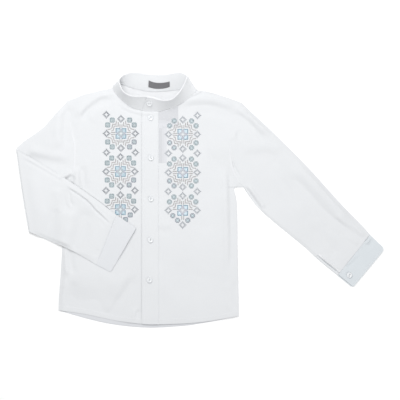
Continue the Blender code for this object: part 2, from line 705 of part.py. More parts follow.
def body_panels():
    turn_right = STATION_NUMBER["turn_right"]
    fold_edge = STATION_NUMBER["fold_edge"]
    underlap_place = 0.37          # place on the band's lower end above the underlap's edge
    overlap_place = STATION_NUMBER["upper_left"] + 0.3

    back_neck = neck_edge(turn_right + 0.55, fold_edge - 0.2, -1)
    hem = Line(BACK_HEM)
    first, second = BACK_HEM_SPLITS
    back = Patch(
        Side(Line(RIGHT_SIDE_SEAM), Line(RIGHT_UNDERARM), Line(RIGHT_ARMHOLE)),
        Side(Line(LEFT_SIDE_SEAM), Line(LEFT_UNDERARM), Line(LEFT_ARMHOLE)),
        Side(hem.part(0, first), hem.part(first, second), hem.part(second, 1)),
        Side(Line(RIGHT_SHOULDER + [RIGHT_NECK_CORNER, back_neck.at(0)]), back_neck,
             Line([back_neck.at(1), LEFT_NECK_CORNER] + LEFT_SHOULDER)))
    panel("back", back, spaced(*BACK_ROWS), spaced(*BACK_COLUMNS), lambda point: 0.0)

    hem = Line(FRONT_HEM)
    neck = neck_edge(underlap_place, turn_right - 0.4, 1)
    split = hem_share(hem, neck.at(0).x)
    right = Patch(
        outer_side(RIGHT_SIDE_SEAM, RIGHT_UNDERARM, RIGHT_ARMHOLE),
        centre_side(hem.at(split), neck),
        Side(hem.part(0, split)), Side(Line(RIGHT_SHOULDER + [neck.at(1)])))
    panel("front_right", right, spaced(*FRONT_ROWS), spaced(FRONT_COLUMNS), front_under)

    neck = neck_edge(overlap_place, fold_edge + 0.3, 1)
    split = hem_share(hem, neck.at(0).x)
    left = Patch(
        centre_side(hem.at(split), neck),
        outer_side(LEFT_SIDE_SEAM, LEFT_UNDERARM, LEFT_ARMHOLE),
        Side(hem.part(split, 1)), Side(Line([neck.at(1)] + LEFT_SHOULDER)))
    panel("front_left", left, spaced(*FRONT_ROWS), spaced(FRONT_COLUMNS), front_under)


def hem_share(hem, x):
    """The share of the hem's length at an x."""
    return min((step / 400 for step in range(401)), key=lambda share: abs(hem.at(share).x - x))


def placket():
    neck = neck_edge(STATION_NUMBER["upper_left"] + 0.05, STATION_NUMBER["upper_end"], 1)
    hem = Line(FRONT_HEM)
    low = hem.part(hem_share(hem, PLACKET_EDGE), hem_share(hem, PLACKET_SEAM))
    high = Line([(PLACKET_EDGE, neck.at(1).y), (0, neck.at(0.5).y), (PLACKET_SEAM, neck.at(0).y)])
    strip = Patch(Side(Line([low.at(0), high.at(0)])), Side(Line([low.at(1), high.at(1)])),
                  Side(low), Side(high))
    panel("placket", strip, spaced(PLACKET_ROWS), spaced(PLACKET_COLUMNS), placket_under,
          wall=BAND_WALL)


def buttons():
    mesh = button_mesh()
    up = Vector((0, 0, 1))
    for number, place in enumerate(BUTTONS, start=1):
        point = Vector(place)
        height = highest_under(point, placket_under, BUTTON_RADIUS) + BAND_WALL
        button(f"button_{number}", mesh, Vector((*point, height)), up)

    place = STATION_NUMBER["upper_centre"] + COLLAR_BUTTON_STATION
    outward = -collar_normal(place, COLLAR_BUTTON_RISE)
    seat = collar_point(place, COLLAR_BUTTON_RISE, -BAND_WALL / 2)
    button("button_collar", mesh, seat + outward * COLLAR_BUTTON_CLEAR, outward)

    cuff_height = 2 * BAND_WALL + SEAM_GAP + CUFF_CROWN
    button("button_cuff_left", mesh, Vector((*CUFF_BUTTON, cuff_height)), up)


clear_scene()
make_materials()
FRONT_EDGES = [Line(points) for points in
               (RIGHT_SIDE_SEAM, RIGHT_UNDERARM, LEFT_SIDE_SEAM, LEFT_UNDERARM,
                RIGHT_SHOULDER, LEFT_SHOULDER)]
body_panels()
placket()
straight_sleeve()
folded_sleeve()
cuff("cuff_left", (LEFT_SLEEVE_UNDER[-1], LEFT_SLEEVE_TOP[-1]), LEFT_CUFF_END, 0.0,
     LEFT_CUFF_CORNER)
cuff("cuff_right", (FOREARM_UNDER[-1], FOREARM_TOP[-1]), RIGHT_CUFF_END, CUFF_BASE,
     RIGHT_CUFF_CORNER)
collar()
label()
buttons()
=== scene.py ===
"""A boy's white band-collar shirt with embroidered fronts, laid flat on its back.

Tables are in millimetres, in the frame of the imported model: +X to the wearer's left, +Y to the collar,
+Z up from the surface. "Right" and "left" are the wearer's. Meshes are made in metres.
"""
import json
import math
import random
from bisect import bisect_right
from collections import Counter, namedtuple

import bmesh
import bpy
from mathutils import Matrix, Vector, noise
from mathutils.bvhtree import BVHTree
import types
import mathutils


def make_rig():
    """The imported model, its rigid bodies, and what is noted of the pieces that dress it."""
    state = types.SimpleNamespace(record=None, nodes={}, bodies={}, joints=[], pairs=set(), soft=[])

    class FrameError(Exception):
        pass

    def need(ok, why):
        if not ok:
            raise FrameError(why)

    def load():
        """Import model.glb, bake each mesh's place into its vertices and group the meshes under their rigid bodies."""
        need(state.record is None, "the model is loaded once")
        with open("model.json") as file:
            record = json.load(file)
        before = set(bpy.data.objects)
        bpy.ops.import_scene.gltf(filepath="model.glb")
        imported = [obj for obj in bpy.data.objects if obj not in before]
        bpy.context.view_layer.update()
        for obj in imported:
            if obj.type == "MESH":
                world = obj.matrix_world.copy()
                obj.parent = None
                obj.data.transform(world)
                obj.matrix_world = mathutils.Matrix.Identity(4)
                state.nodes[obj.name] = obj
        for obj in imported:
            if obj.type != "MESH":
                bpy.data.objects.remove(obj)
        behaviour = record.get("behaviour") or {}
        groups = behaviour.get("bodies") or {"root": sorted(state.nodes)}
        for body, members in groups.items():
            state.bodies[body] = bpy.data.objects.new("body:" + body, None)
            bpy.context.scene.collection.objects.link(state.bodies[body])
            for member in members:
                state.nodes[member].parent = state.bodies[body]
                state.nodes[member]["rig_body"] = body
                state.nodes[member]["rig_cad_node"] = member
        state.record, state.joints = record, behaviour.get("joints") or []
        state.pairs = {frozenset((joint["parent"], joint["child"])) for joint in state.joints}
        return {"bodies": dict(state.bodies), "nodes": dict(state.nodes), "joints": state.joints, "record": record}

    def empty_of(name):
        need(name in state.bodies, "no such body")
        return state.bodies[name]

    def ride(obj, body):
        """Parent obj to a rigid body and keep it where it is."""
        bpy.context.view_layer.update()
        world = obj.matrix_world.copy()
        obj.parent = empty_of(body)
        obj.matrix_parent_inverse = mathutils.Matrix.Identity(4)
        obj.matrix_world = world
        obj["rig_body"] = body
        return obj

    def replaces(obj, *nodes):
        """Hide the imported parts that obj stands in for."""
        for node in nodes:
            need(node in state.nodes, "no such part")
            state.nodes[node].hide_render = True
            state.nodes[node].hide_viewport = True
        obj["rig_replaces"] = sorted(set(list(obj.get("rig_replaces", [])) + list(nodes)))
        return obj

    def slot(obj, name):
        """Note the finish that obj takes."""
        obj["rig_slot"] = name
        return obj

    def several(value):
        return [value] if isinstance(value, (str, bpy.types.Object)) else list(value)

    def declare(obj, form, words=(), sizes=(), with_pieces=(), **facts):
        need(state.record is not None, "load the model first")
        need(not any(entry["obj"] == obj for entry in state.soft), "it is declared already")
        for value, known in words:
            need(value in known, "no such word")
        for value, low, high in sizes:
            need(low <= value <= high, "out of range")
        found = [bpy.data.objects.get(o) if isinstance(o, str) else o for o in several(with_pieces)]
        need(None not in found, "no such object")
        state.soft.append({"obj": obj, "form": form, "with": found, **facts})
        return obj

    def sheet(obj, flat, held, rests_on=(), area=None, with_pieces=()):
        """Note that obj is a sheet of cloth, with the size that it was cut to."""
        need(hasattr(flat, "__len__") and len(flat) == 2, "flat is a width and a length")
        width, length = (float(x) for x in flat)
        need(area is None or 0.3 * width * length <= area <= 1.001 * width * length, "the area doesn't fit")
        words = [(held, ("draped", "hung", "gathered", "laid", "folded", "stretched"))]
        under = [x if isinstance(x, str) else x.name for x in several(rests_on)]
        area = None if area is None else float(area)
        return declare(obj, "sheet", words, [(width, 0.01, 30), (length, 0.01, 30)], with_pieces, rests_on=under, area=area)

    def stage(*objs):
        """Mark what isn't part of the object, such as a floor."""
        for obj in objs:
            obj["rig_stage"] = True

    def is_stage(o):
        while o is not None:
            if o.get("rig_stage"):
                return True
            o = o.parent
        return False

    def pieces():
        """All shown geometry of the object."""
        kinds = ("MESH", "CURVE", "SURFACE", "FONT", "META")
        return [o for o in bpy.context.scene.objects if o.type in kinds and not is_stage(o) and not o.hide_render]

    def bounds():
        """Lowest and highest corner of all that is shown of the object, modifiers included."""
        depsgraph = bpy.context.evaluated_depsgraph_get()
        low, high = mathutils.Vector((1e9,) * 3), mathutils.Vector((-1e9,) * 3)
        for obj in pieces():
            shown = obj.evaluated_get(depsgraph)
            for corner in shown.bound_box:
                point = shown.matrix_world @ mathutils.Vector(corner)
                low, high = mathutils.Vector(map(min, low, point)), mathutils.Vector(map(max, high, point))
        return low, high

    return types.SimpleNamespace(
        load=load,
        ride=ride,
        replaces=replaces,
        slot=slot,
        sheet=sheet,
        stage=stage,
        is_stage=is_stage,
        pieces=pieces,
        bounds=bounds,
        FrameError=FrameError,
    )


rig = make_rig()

MM = 0.001
UP = Vector((0, 0, 1))
OVERHEAD, CLOTH_LEVEL = 90, 3     # heights above everything, and about that of the cloth

# ------------------------------------------------------------------ outlines, close to the model's
BAND_WALL = 1.6           # the model's wall at the collar, the placket and the cuffs
SEAM_GAP = 0.3            # between pieces that are sewn together
FOLD_CROWN = 1.2          # air left in the sleeve where it turns back at the elbow
FOLD_INNER = 0.5          # inner radius of that turn
PLACKET_EDGE, PLACKET_SEAM = -17.8, 17.2
BUTTON_RADIUS, BUTTON_HEIGHT = 5.7, 2.4
HOLE_RADIUS, HOLE_OFFSET = 1.0, 1.85
BUTTON_TURNS = (50, -64, 88, 82, 74)     # degrees from across to the line of its two holes
BUTTONS = [(0.1, 144.9), (1.0, 60.9), (1.0, -25.2), (0.1, -111.3), (-2.0, -195.3)]
CUFF_BUTTON = (417.7, -185.0)
CUFF_BUTTON_TURN, COLLAR_BUTTON_TURN = 70, 8

RIGHT_SIDE_SEAM = [(-193, -258.5), (-191.6, -225), (-189, -190), (-185.2, -126.8), (-182.8, -60),
                   (-181.2, -14)]
RIGHT_UNDERARM = [(-181.2, -14), (-180.6, -1)]
RIGHT_ARMHOLE = [(-180.6, -1), (-166.5, 14.7), (-160, 46.2), (-159, 84), (-164.9, 115.5),
                 (-170.5, 151.2), (-174.3, 180.3)]
RIGHT_SHOULDER = [(-174.3, 180.3), (-156.5, 187.2), (-139.7, 194), (-118, 199.2), (-104, 203.2),
                  (-92, 204.6)]
RIGHT_NECK_CORNER = (-79, 206.5)
LEFT_SIDE_SEAM = [(185.4, -270.5), (184.8, -220), (183.1, -140), (182.3, -60), (180.4, -27.3),
                  (176.6, -10.5)]
LEFT_UNDERARM = [(176.6, -10.5), (175.7, -3.2), (179.5, 0.3), (187, 0.6), (195.5, 0.2)]
LEFT_ARMHOLE = [(195.5, 0.2), (185.9, 12.6), (176, 27.3), (169, 50.4), (167, 77.7),
                (171.2, 109.2), (179.6, 140.7), (187.5, 162), (191.3, 177)]
LEFT_SHOULDER = [(112.4, 201), (150.2, 191.3), (175, 183), (191.3, 177)]
LEFT_NECK_CORNER = (99, 203)
BACK_HEM = [(-193, -258.5), (-125, -277.8), (-69.1, -289), (-1, -294.6), (68.3, -290.8),
            (104, -286), (150, -278), (185.4, -270.5)]
FRONT_HEM = [(-193, -258.5), (-135.7, -267.2), (-73.5, -280.3), (-17.8, -287.2), (12, -288.3),
             (60, -286.9), (104, -283.6), (150, -276.9), (185.4, -270.5)]
LEFT_SLEEVE_TOP = [(191.3, 177), (213, 156), (251.8, 119.7), (326.6, 45.2), (396.5, -32),
                   (446.4, -83.6), (461, -100.8)]
LEFT_SLEEVE_UNDER = [(195.5, 0.2), (230.4, -47.7), (308.1, -113.4), (327.2, -129.2),
                     (353.9, -154.2), (393.1, -185.9)]
RIGHT_ARM_TOP = [(-174.3, 180.3), (-206, 146.4), (-222.6, 127.1), (-242.6, 111.5), (-262.5, 98),
                 (-278.5, 84.5)]
RIGHT_ARM_UNDER = [(-180.6, -1), (-215, -42), (-249.2, -96.4)]
ELBOW_LINE = [(-254.6, -95.8), (-269.3, -7.7), (-283.2, 83)]
FOREARM_TOP = [(-276.6, 75.0), (-250.7, 61.5), (-211.5, 38), (-183.1, 20.8), (-150, -1),
               (-110, -29), (-71.4, -58.5)]
FOREARM_UNDER = [(-249.2, -96.4), (-231.4, -104.5), (-206.4, -115.7), (-184.3, -124.3),
                 (-149.2, -141.8), (-113.4, -163.4)]
LEFT_CUFF_END = [(424.2, -211.5), (491.4, -129.8)]
RIGHT_CUFF_END = [(-83.4, -178.7), (-29.8, -86.1)]
LEFT_CUFF_CORNER, RIGHT_CUFF_CORNER = 7.0, 3.0     # radius of a cuff's far corners

# The collar band from its lower end round the neck to its upper end: points of its seam and its rim
# in the middle of its wall, and how far it is tucked in behind the other end.
Station = namedtuple("Station", "name seam rim tuck")
COLLAR = [
    Station("under_end", (18.9, 158.6, 4.3), (21.0, 181.5, 25.8), 2.2),
    Station("under_centre", (0.0, 157.4, 4.3), (4.0, 186.6, 23.4), 2.2),
    Station("under_right", (-16.5, 159.6, 4.3), (-11.0, 187.8, 24.6), 2.2),
    Station("front_right", (-40.3, 167.4, 4.3), (-39.3, 189.8, 26.6), 0.4),
    Station("front_right_2", (-63.0, 186.1, 4.3), (-55.0, 198.2, 28.6), 0.0),
    Station("side_right", (-74.8, 201.0, 3.8), (-62.8, 212.1, 25.6), 0.0),
    Station("turn_right", (-78.2, 212.6, 2.8), (-64.9, 224.3, 19.0), 0.0),
    Station("back_right", (-61.1, 215.7, 1.6), (-56.7, 233.9, 13.0), 0.0),
    Station("back_right_2", (-46.2, 210.8, 1.0), (-42.0, 239.0, 7.0), 0.0),
    Station("back_right_3", (-31.1, 205.8, 0.8), (-24.2, 239.4, 3.0), 0.0),
    Station("back_middle", (-2.9, 200.5, 0.8), (-1.1, 236.0, 0.8), 0.0),
    Station("back_left", (25.2, 200.5, 0.8), (26.2, 235.4, 0.8), 0.0),
    Station("back_left_2", (49.6, 202.9, 0.8), (47.2, 238.6, 0.8), 0.0),
    Station("back_left_3", (72.5, 205.2, 0.8), (62.0, 240.0, 0.8), 0.0),
    Station("fold_under", (90.8, 204.8, 0.9), (72.6, 236.4, 1.0), 0.0),
    Station("fold_edge", (96.1, 203.2, 2.8), (77.0, 232.6, 4.2), 0.0),
    Station("fold_over", (94.0, 199.0, 4.6), (75.6, 227.4, 8.4), 0.0),
    Station("side_left", (89.2, 193.0, 4.5), (73.0, 219.6, 17.6), 0.0),
    Station("front_left", (83.0, 186.9, 4.3), (67.8, 209.0, 21.6), 0.0),
    Station("front_left_2", (62.8, 174.7, 4.3), (57.8, 194.0, 25.6), 0.0),
    Station("front_left_3", (40.1, 165.5, 4.3), (42.0, 181.9, 26.0), 0.0),
    Station("upper_left", (18.9, 158.6, 4.3), (21.0, 181.5, 25.8), 0.0),
    Station("upper_centre", (0.0, 157.4, 4.3), (4.0, 186.6, 23.4), 0.0),
    Station("upper_end", (-17.0, 159.7, 4.3), (-6.5, 187.6, 24.6), 0.0),
]
STATION_NUMBER = {station.name: number for number, station in enumerate(COLLAR)}
LAST_STATION = len(COLLAR) - 1
COLLAR_STEPS = 10         # rows of points from one station to the next
COLLAR_BULGE = -0.6       # how far the standing band swells outwards half-way up: it is hollow
STANDING, SEAM_STANDING = 20, 12     # heights of the rim where the band counts as standing
LABEL_STATIONS = (9.93, 11.62)
LABEL_SIZE = (45.7, 17)
LABEL_ENDS = 46 / 3.2     # its length over that of an end that is turned under
LABEL_LOW = (0.26, 0.165, 0.235)         # rise of its edges at its right end, middle and left end
LABEL_HIGH = (0.65, 0.52, 0.55)
COLLAR_BUTTON = (STATION_NUMBER["upper_centre"] + 0.28, 0.58)
COLLAR_BUTTON_CLEAR = 0.5    # keeps the flat disc clear of the band's curve

# ------------------------------------------------------------------ sizes of the dressed pieces
CLOTH = 0.7               # the sewn cloth itself, thinner than the model's wall
BAND_CLOTH = 1.1
ROLLED = 0.95             # radius of a folded edge, and height of its middle
CROWN, SLEEVE_CROWN, CUFF_CROWN = 1.4, 2.0, 0.4     # air in the body, the sleeves and the cuffs
ROLL = 10.0               # how far in from an edge the cloth has its full height
LOWEST_DIP = -0.35        # creases take the cloth no lower than this
UNDERSIDE_LIFT = 0.6      # creases of the underside lift it no more than this
FOREARM_BASE, CUFF_BASE = 4.9, 4.4       # under face of the folded forearm, and of its cuff
FOREARM_AXIS = Vector((-266, -8)), Vector((-92, -111))     # elbow and wrist in plan
LABEL_CLOTH = 0.5
COLLAR_CLOTH = 2.0        # outer cloth, lining and interfacing
COLLAR_INSIDE = COLLAR_CLOTH - BAND_WALL / 2
GRID = 2.2                # spacing of the points of a cloth surface
# Steps across the left sleeve, the right one and a cuff
LEFT_ROUND, RIGHT_ROUND, CUFF_ROUND = [round(width / GRID) for width in (140, 150, 110)]
ELBOW_TURNS = 14          # rings round the elbow's turn
STRIP_SPACING = 2.0       # of a strip sewn or turned over it
ROW_SPACING, COLLAR_ROW_SPACING = 1.0, 0.06     # of a row of stitches: in mm, and in stations
EDGE_PRESSED = 0.42       # how far a folded edge's round reaches in, as a share of its height
EDGE_STEPS = [EDGE_PRESSED * share for share in (0.0, 0.076, 0.293, 0.617, 1.0)]
ROLL_MARKS = [share * ROLLED for share in EDGE_STEPS] + [2.6]     # distances in from a panel's edge
RING_STEP = 1.35          # the step after the rounds of a tube's two edges
SEAM_TUCK = 1.2           # how far a panel's neck edge runs into the collar
CUFF_TUCK = 2.5           # how far a sleeve runs into its cuff
CUFF_RADIUS = BAND_CLOTH + 0.05
# The last rings of a sleeve, inside its cuff: how far on, and how much closed up
CUFF_RINGS = ((0.4, 0.8), (CUFF_TUCK / 2, 1.0), (CUFF_TUCK, 1.0))
EDGE_BEAD = 1.25          # radius of the turned upper edge of the collar
HANG = 18.0               # how far past its support the folded forearm comes down to the floor
STITCH, STITCH_GAP, STITCH_RADIUS, STITCH_SUNK = 2.2, 0.7, 0.22, 0.02
BUTTONHOLE = 13.0
HEM_WIDTH = 11.0
HEM_FALL = 12.0           # how far in from the hem a front has its full crown
PLACKET_ROWS, PLACKET_RUN = (PLACKET_EDGE + 5.0, PLACKET_SEAM - 2.0), (-284, 152)

# Creases: soft ridges (height above 0) and troughs along a path, each fading out at its ends. A ledge
# is a crease where the cloth lies high to the left of the path and low to its right.
Crease = namedtuple("Crease", "path half_width height ledge", defaults=(False,))


def ledge(path, half_width, height):
    return Crease(path, half_width, height, True)


TOP_CREASES = [          # fronts, upper arm of the folded sleeve and the straight sleeve
    # shoulders and neck
    ledge([(-150, 140), (-142, 155), (-131, 167), (-116, 178), (-100, 186), (-70, 189)], 9, 2.9),
    Crease([(-90, 206), (-126, 198), (-158, 183)], 4, 0.6),
    Crease([(-96, 168), (-114, 156), (-126, 136)], 13, 1.3),
    ledge([(62, 171), (87, 174), (112, 175.5), (137, 173), (158, 166), (180, 156)], 15, 3.4),
    ledge([(168, 163), (190, 152), (205, 141), (218, 128), (231, 115), (250, 101)], 14, 4.0),
    Crease([(104, 198), (150, 188), (186, 176), (214, 150), (238, 127)], 4, 0.8),
    Crease([(186, 116), (160, 84), (130, 60)], 26, 2.2),
    ledge([(83, 188), (98, 194.5), (112, 201)], 3, 1.4),
    Crease([(187, 168), (197, 157), (209, 145)], 2.8, -2.0),
    Crease([(192, 173), (207, 158)], 3, 0.9),
    ledge([(-72, 176), (-46, 160), (-20, 152.5), (4, 150.5), (19, 151)], 5, 0.6),
    # down the wearer's left side
    ledge([(164, -178), (166, -130), (165, -60), (164, -17), (163, 14), (160, 44)], 9, 2.8),
    Crease([(143, 40), (145, -50), (146, -140)], 12, 0.8),
    ledge([(173, -262), (172, -230), (168, -196)], 11, 1.3),
    Crease([(114, -80), (112, -130), (106, -190)], 28, 1.3),
    Crease([(70, -150), (74, -230)], 20, -0.9),
    Crease([(132, 118), (122, 60), (124, -10)], 18, 1.4),
    # beside the placket
    ledge([(22, 140), (54, 141)], 9, 0.5),
    ledge([(16, -82), (30, -87), (48, -84)], 10, 0.7),
    Crease([(24, -120), (23, -190), (24, -262)], 6, -0.6),
    # down the wearer's right side
    ledge([(-168, -186), (-173, -158), (-177, -126)], 9, 2.6),
    ledge([(-88, -272), (-64, -228), (-36, -178)], 12, 2.0),
    Crease([(-66, -190), (-90, -228), (-104, -262)], 12, 1.1),
    ledge([(-34, -278), (-28, -256)], 6, 1.2),
    ledge([(-180, -256), (-175, -225), (-168, -194)], 12, 1.5),
    ledge([(-190, -226), (-120, -222), (-40, -226)], 46, 2.6),
    ledge([(-146, -14), (-148, 14), (-149, 44)], 9, 3.0),
    Crease([(-132, 60), (-130, 5)], 9, 1.0),
    ledge([(-183, 24.5), (-167, 12), (-149, -1.5), (-109, -30), (-84, -48)], 2.8, 1.5),
    # armholes
    Crease([(171, 56), (178, 38), (190, 20)], 3, -1.6),
    # straight sleeve
    ledge([(192, 74), (236, 76), (280, 70)], 16, 1.6),
    ledge([(288, 38), (312, 18), (334, -5), (355, -29), (376, -52), (397, -72), (420, -88)], 20, 4.6),
    ledge([(384, -62), (404, -78), (426, -91)], 9, 1.8),
    ledge([(199, 4), (212, -14), (227, -34), (237, -48)], 6, 3.0),
    Crease([(250, 40), (292, -12), (330, -66)], 18, 1.6),
    Crease([(222, 92), (262, 48), (300, 8)], 15, -1.2),
    ledge([(178, 96), (182, 120)], 7, 1.0),
    Crease([(332, -78), (372, -118), (392, -146)], 10, -1.6),
    Crease([(344, -62), (396, -116)], 9, 1.2),
    Crease([(458, -94), (432, -72)], 3, -2.0),
    Crease([(450, -103), (424, -80)], 3.5, 1.8),
    Crease([(444, -112), (420, -92)], 3, -2.0),
    Crease([(436, -121), (414, -104)], 4, 1.4),
    ledge([(350, -143), (372, -161), (396, -179)], 2.8, 3.4),
    # upper arm
    ledge([(-181, 80), (-185, 112), (-184, 142), (-180, 172)], 14, 3.4),
    ledge([(-163, 92), (-164, 112), (-167, 134)], 9, 1.0),
    ledge([(-262, 73), (-240, 67), (-212, 60), (-166, 52)], 12, 2.1),
    ledge([(-195, 8), (-179, 17.5), (-162, 27)], 8, 5.2),
    Crease([(-226, 98), (-196, 80)], 15, 1.2),
]
FOREARM_CREASES = [
    ledge([(-272, 63), (-245, 50), (-205, 27), (-176, 10)], 4.5, 1.1),
    ledge([(-176, 2), (-164, -6), (-147, -17), (-127, -33), (-116, -46), (-99, -62),
           (-81, -79)], 3, 2.0),
    ledge([(-164, -42), (-171, -29), (-175, -1)], 4, 1.3),
    ledge([(-172, -140), (-164, -106), (-157, -80), (-150, -40)], 22, 3.6),
    ledge([(-186, -56), (-184, -28), (-182, 0)], 14, 2.0),
    Crease([(-250, 34), (-242, -20), (-234, -72)], 16, 1.2),
    Crease([(-132, -60), (-122, -92), (-118, -130)], 9, 0.7),
    Crease([(-106, -66), (-98, -84)], 4, -0.9),
    Crease([(-116, -146), (-108, -130)], 5, -0.8),
]
BACK_CREASES = [         # the hidden back, which is flat where it rests
    Crease([(-120, 150), (-60, 60), (-40, -60)], 14, 0.5),
    Crease([(130, 140), (90, 40), (100, -80)], 16, 0.5),
    Crease([(-60, -120), (10, -180), (40, -250)], 12, 0.5),
    Crease([(150, -40), (120, -140), (128, -230)], 9, 0.4),
    Crease([(-150, -60), (-140, -150), (-152, -220)], 9, 0.4),
    Crease([(0, 170), (10, 80), (-4, -20)], 18, 0.4),
]
SLEEVE_BACK_CREASES = [
    Crease([(230, 90), (300, 20), (360, -60)], 9, 0.5),
    Crease([(220, 20), (290, -50), (350, -110)], 8, 0.5),
    Crease([(-200, 120), (-225, 60), (-235, 0)], 8, 0.5),
]
CUFF_CREASES = [
    ledge([(411, -167), (423, -157.5), (441, -140)], 4, 0.8),
    ledge([(454, -124), (463, -111), (472, -98)], 5, 3.4),
    Crease([(418, -205), (428, -196)], 3, -0.3),
    Crease([(-104, -150), (-84, -130), (-66, -92)], 9, 0.4),
]


# ------------------------------------------------------------------ lines and patches
def blend(start, end, share):
    return start + (end - start) * share


def smooth(share):
    """0 to 1 with level ends."""
    share = min(max(share, 0.0), 1.0)
    return share * share * (3 - 2 * share)


def on_spline(points, place):
    """The point at a place along a smooth curve: place 0 is the first point, 1 the second."""
    number = min(max(int(place), 0), len(points) - 2)
    share = place - number
    near, far = points[number], points[number + 1]
    before = points[number - 1] if number else near * 2 - far
    after = points[number + 2] if number + 2 < len(points) else far * 2 - near
    return 0.5 * (
        near * 2
        + (far - before) * share
        + (before * 2 - near * 5 + far * 4 - after) * share ** 2
        + (near * 3 - before - far * 3 + after) * share ** 3
    )


def reaches(points):
    """How far along a run of points each of them is."""
    reach = [0.0]
    for near, far in zip(points, points[1:]):
        reach.append(reach[-1] + (far - near).length)
    return reach


class Line:
    """A smooth line through a few points, read by its share of length."""

    STEPS = 10

    def __init__(self, points, rounded=True):
        points = [Vector(point) for point in points]
        if rounded:
            count = (len(points) - 1) * self.STEPS
            points = [on_spline(points, step / self.STEPS) for step in range(count + 1)]
        self.points = points
        self.reach = reaches(points)
        self.length = self.reach[-1]

    def at(self, share):
        wanted = min(max(share, 0.0), 1.0) * self.length
        number = min(bisect_right(self.reach, wanted), len(self.points) - 1) - 1
        start, end = self.reach[number], self.reach[number + 1]
        return blend(self.points[number], self.points[number + 1], (wanted - start) / (end - start))

    def part(self, start, end):
        """The stretch between two shares of its length."""
        count = max(2, len(self.points))
        return Line([self.at(blend(start, end, step / count)) for step in range(count + 1)],
                    rounded=False)

    def moved(self, aside):
        """The line in plan, moved to its left by a distance."""
        moved = []
        for number, point in enumerate(self.points):
            before = self.points[max(number - 1, 0)]
            after = self.points[min(number + 1, len(self.points) - 1)]
            run = (after - before).normalized()
            moved.append(point + Vector((-run.y, run.x)) * aside)
        return Line(moved, rounded=False)


class Side:
    """A side of a patch: lines, or their points, end to end. Each is one unit long in the patch's
    own numbers."""

    def __init__(self, *lines):
        self.lines = [line if isinstance(line, Line) else Line(line) for line in lines]
        self.lengths = [line.length for line in self.lines]
        self.starts = [sum(self.lengths[:number]) for number in range(len(lines))]
        self.length = sum(self.lengths)

    def split(self, place):
        number = min(int(place), len(self.lines) - 1)
        return number, place - number

    def at(self, place):
        number, share = self.split(place)
        return self.lines[number].at(share)

    def share(self, place):
        number, share = self.split(place)
        return (self.starts[number] + share * self.lines[number].length) / self.length


class Patch:
    """The plan of a panel, filled in between its four sides (a Coons patch)."""

    def __init__(self, start, end, low, high):
        self.start, self.end, self.low, self.high = start, end, low, high

    def at(self, across, along):
        """across runs from the start side to the end side, along from the low to the high one."""
        a = 0.5 * (self.low.share(across) + self.high.share(across))
        b = 0.5 * (self.start.share(along) + self.end.share(along))
        low, high = self.low.at(across), self.high.at(across)
        start, end = self.start.at(along), self.end.at(along)
        last = len(self.low.lines)
        corners = blend(blend(self.low.at(0), self.low.at(last), a),
                        blend(self.high.at(0), self.high.at(last), a), b)
        return blend(low, high, b) + blend(start, end, a) - corners


def spaced(lengths, first=(), last=()):
    """Places through units 0 to 1, 1 to 2 and so on, about a grid step apart, for units of these
    lengths in millimetres. first and last are further distances from the two ends."""
    places = [0.0]
    for unit, length in enumerate(lengths):
        start = max(first) if first and unit == 0 else 0.0
        stop = length - (max(last) if last and unit == len(lengths) - 1 else 0.0)
        if unit == 0:
            places += [mark / length for mark in first if mark > 0]
        count = max(1, round((stop - start) / GRID))
        places += [unit + blend(start, stop, step / count) / length for step in range(1, count + 1)]
    unit = len(lengths) - 1
    places += [unit + 1 - mark / lengths[-1] for mark in reversed(last) if mark < max(last)]
    return places


# ------------------------------------------------------------------ how the cloth lies
class Ribbon:
    """Quick distances in plan to a set of lines."""

    def __init__(self, lines):
        points, faces = [], []
        for line in lines:
            for near, far in zip(line.points, line.points[1:]):
                first = len(points)
                points += [(*near, -1), (*far, -1), (*far, 1), (*near, 1)]
                faces.append((first, first + 1, first + 2, first + 3))
        self.tree = BVHTree.FromPolygons(points, faces)

    def distance(self, point):
        return self.tree.find_nearest((point.x, point.y, 0))[3]


class Creases:
    """A set of creases, read as the height they add at a point in plan."""

    REACH = 2.6          # half widths past which a crease adds nothing

    def __init__(self, creases):
        self.runs = []
        for crease in creases:
            line = Line(crease.path)
            margin = crease.half_width * self.REACH
            box = (min(p.x for p in line.points) - margin, max(p.x for p in line.points) + margin,
                   min(p.y for p in line.points) - margin, max(p.y for p in line.points) + margin)
            self.runs.append((box, line, crease))

    def height(self, point):
        total = 0.0
        for (left, right, low, high), line, crease in self.runs:
            if not (left < point.x < right and low < point.y < high):
                continue
            nearest, place, side = math.inf, 0.0, 1.0
            for number, (near, far) in enumerate(zip(line.points, line.points[1:])):
                run = far - near
                share = min(max((point - near).dot(run) / run.length_squared, 0.0), 1.0)
                away = (point - near - run * share).length
                if away < nearest:
                    nearest, place = away, (number + share) / (len(line.points) - 1)
                    side = math.copysign(1.0, run.cross(point - near))
            fade = smooth(min(place, 1 - place) * 4 + 0.1)
            waver = 1 + 0.25 * noise.noise(Vector((point.x, point.y, crease.half_width)) / 23)
            reach = nearest / crease.half_width
            shape = 2.33 * reach * side if crease.ledge else 1.0
            total += crease.height * fade * waver * shape * math.exp(-reach ** 2)
        return total


def ripple(point, seed=0.0):
    """Small unevenness of cloth that was ironed and then handled."""
    broad = noise.noise(Vector((point.x / 95, point.y / 130, seed + 3)))
    slow = noise.noise(Vector((point.x / 42, point.y / 60, seed)))
    quick = noise.noise(Vector((point.x / 15, point.y / 21, seed + 7)))
    return 0.7 * broad + 0.45 * slow + 0.10 * quick


def edge_rise(inset, radius=ROLLED):
    """Height of a pressed edge over its middle, at a distance in from its outermost point."""
    short = max(1 - inset / (radius * EDGE_PRESSED), 0.0)
    return radius * math.sqrt(max(1 - short * short, 0.0))


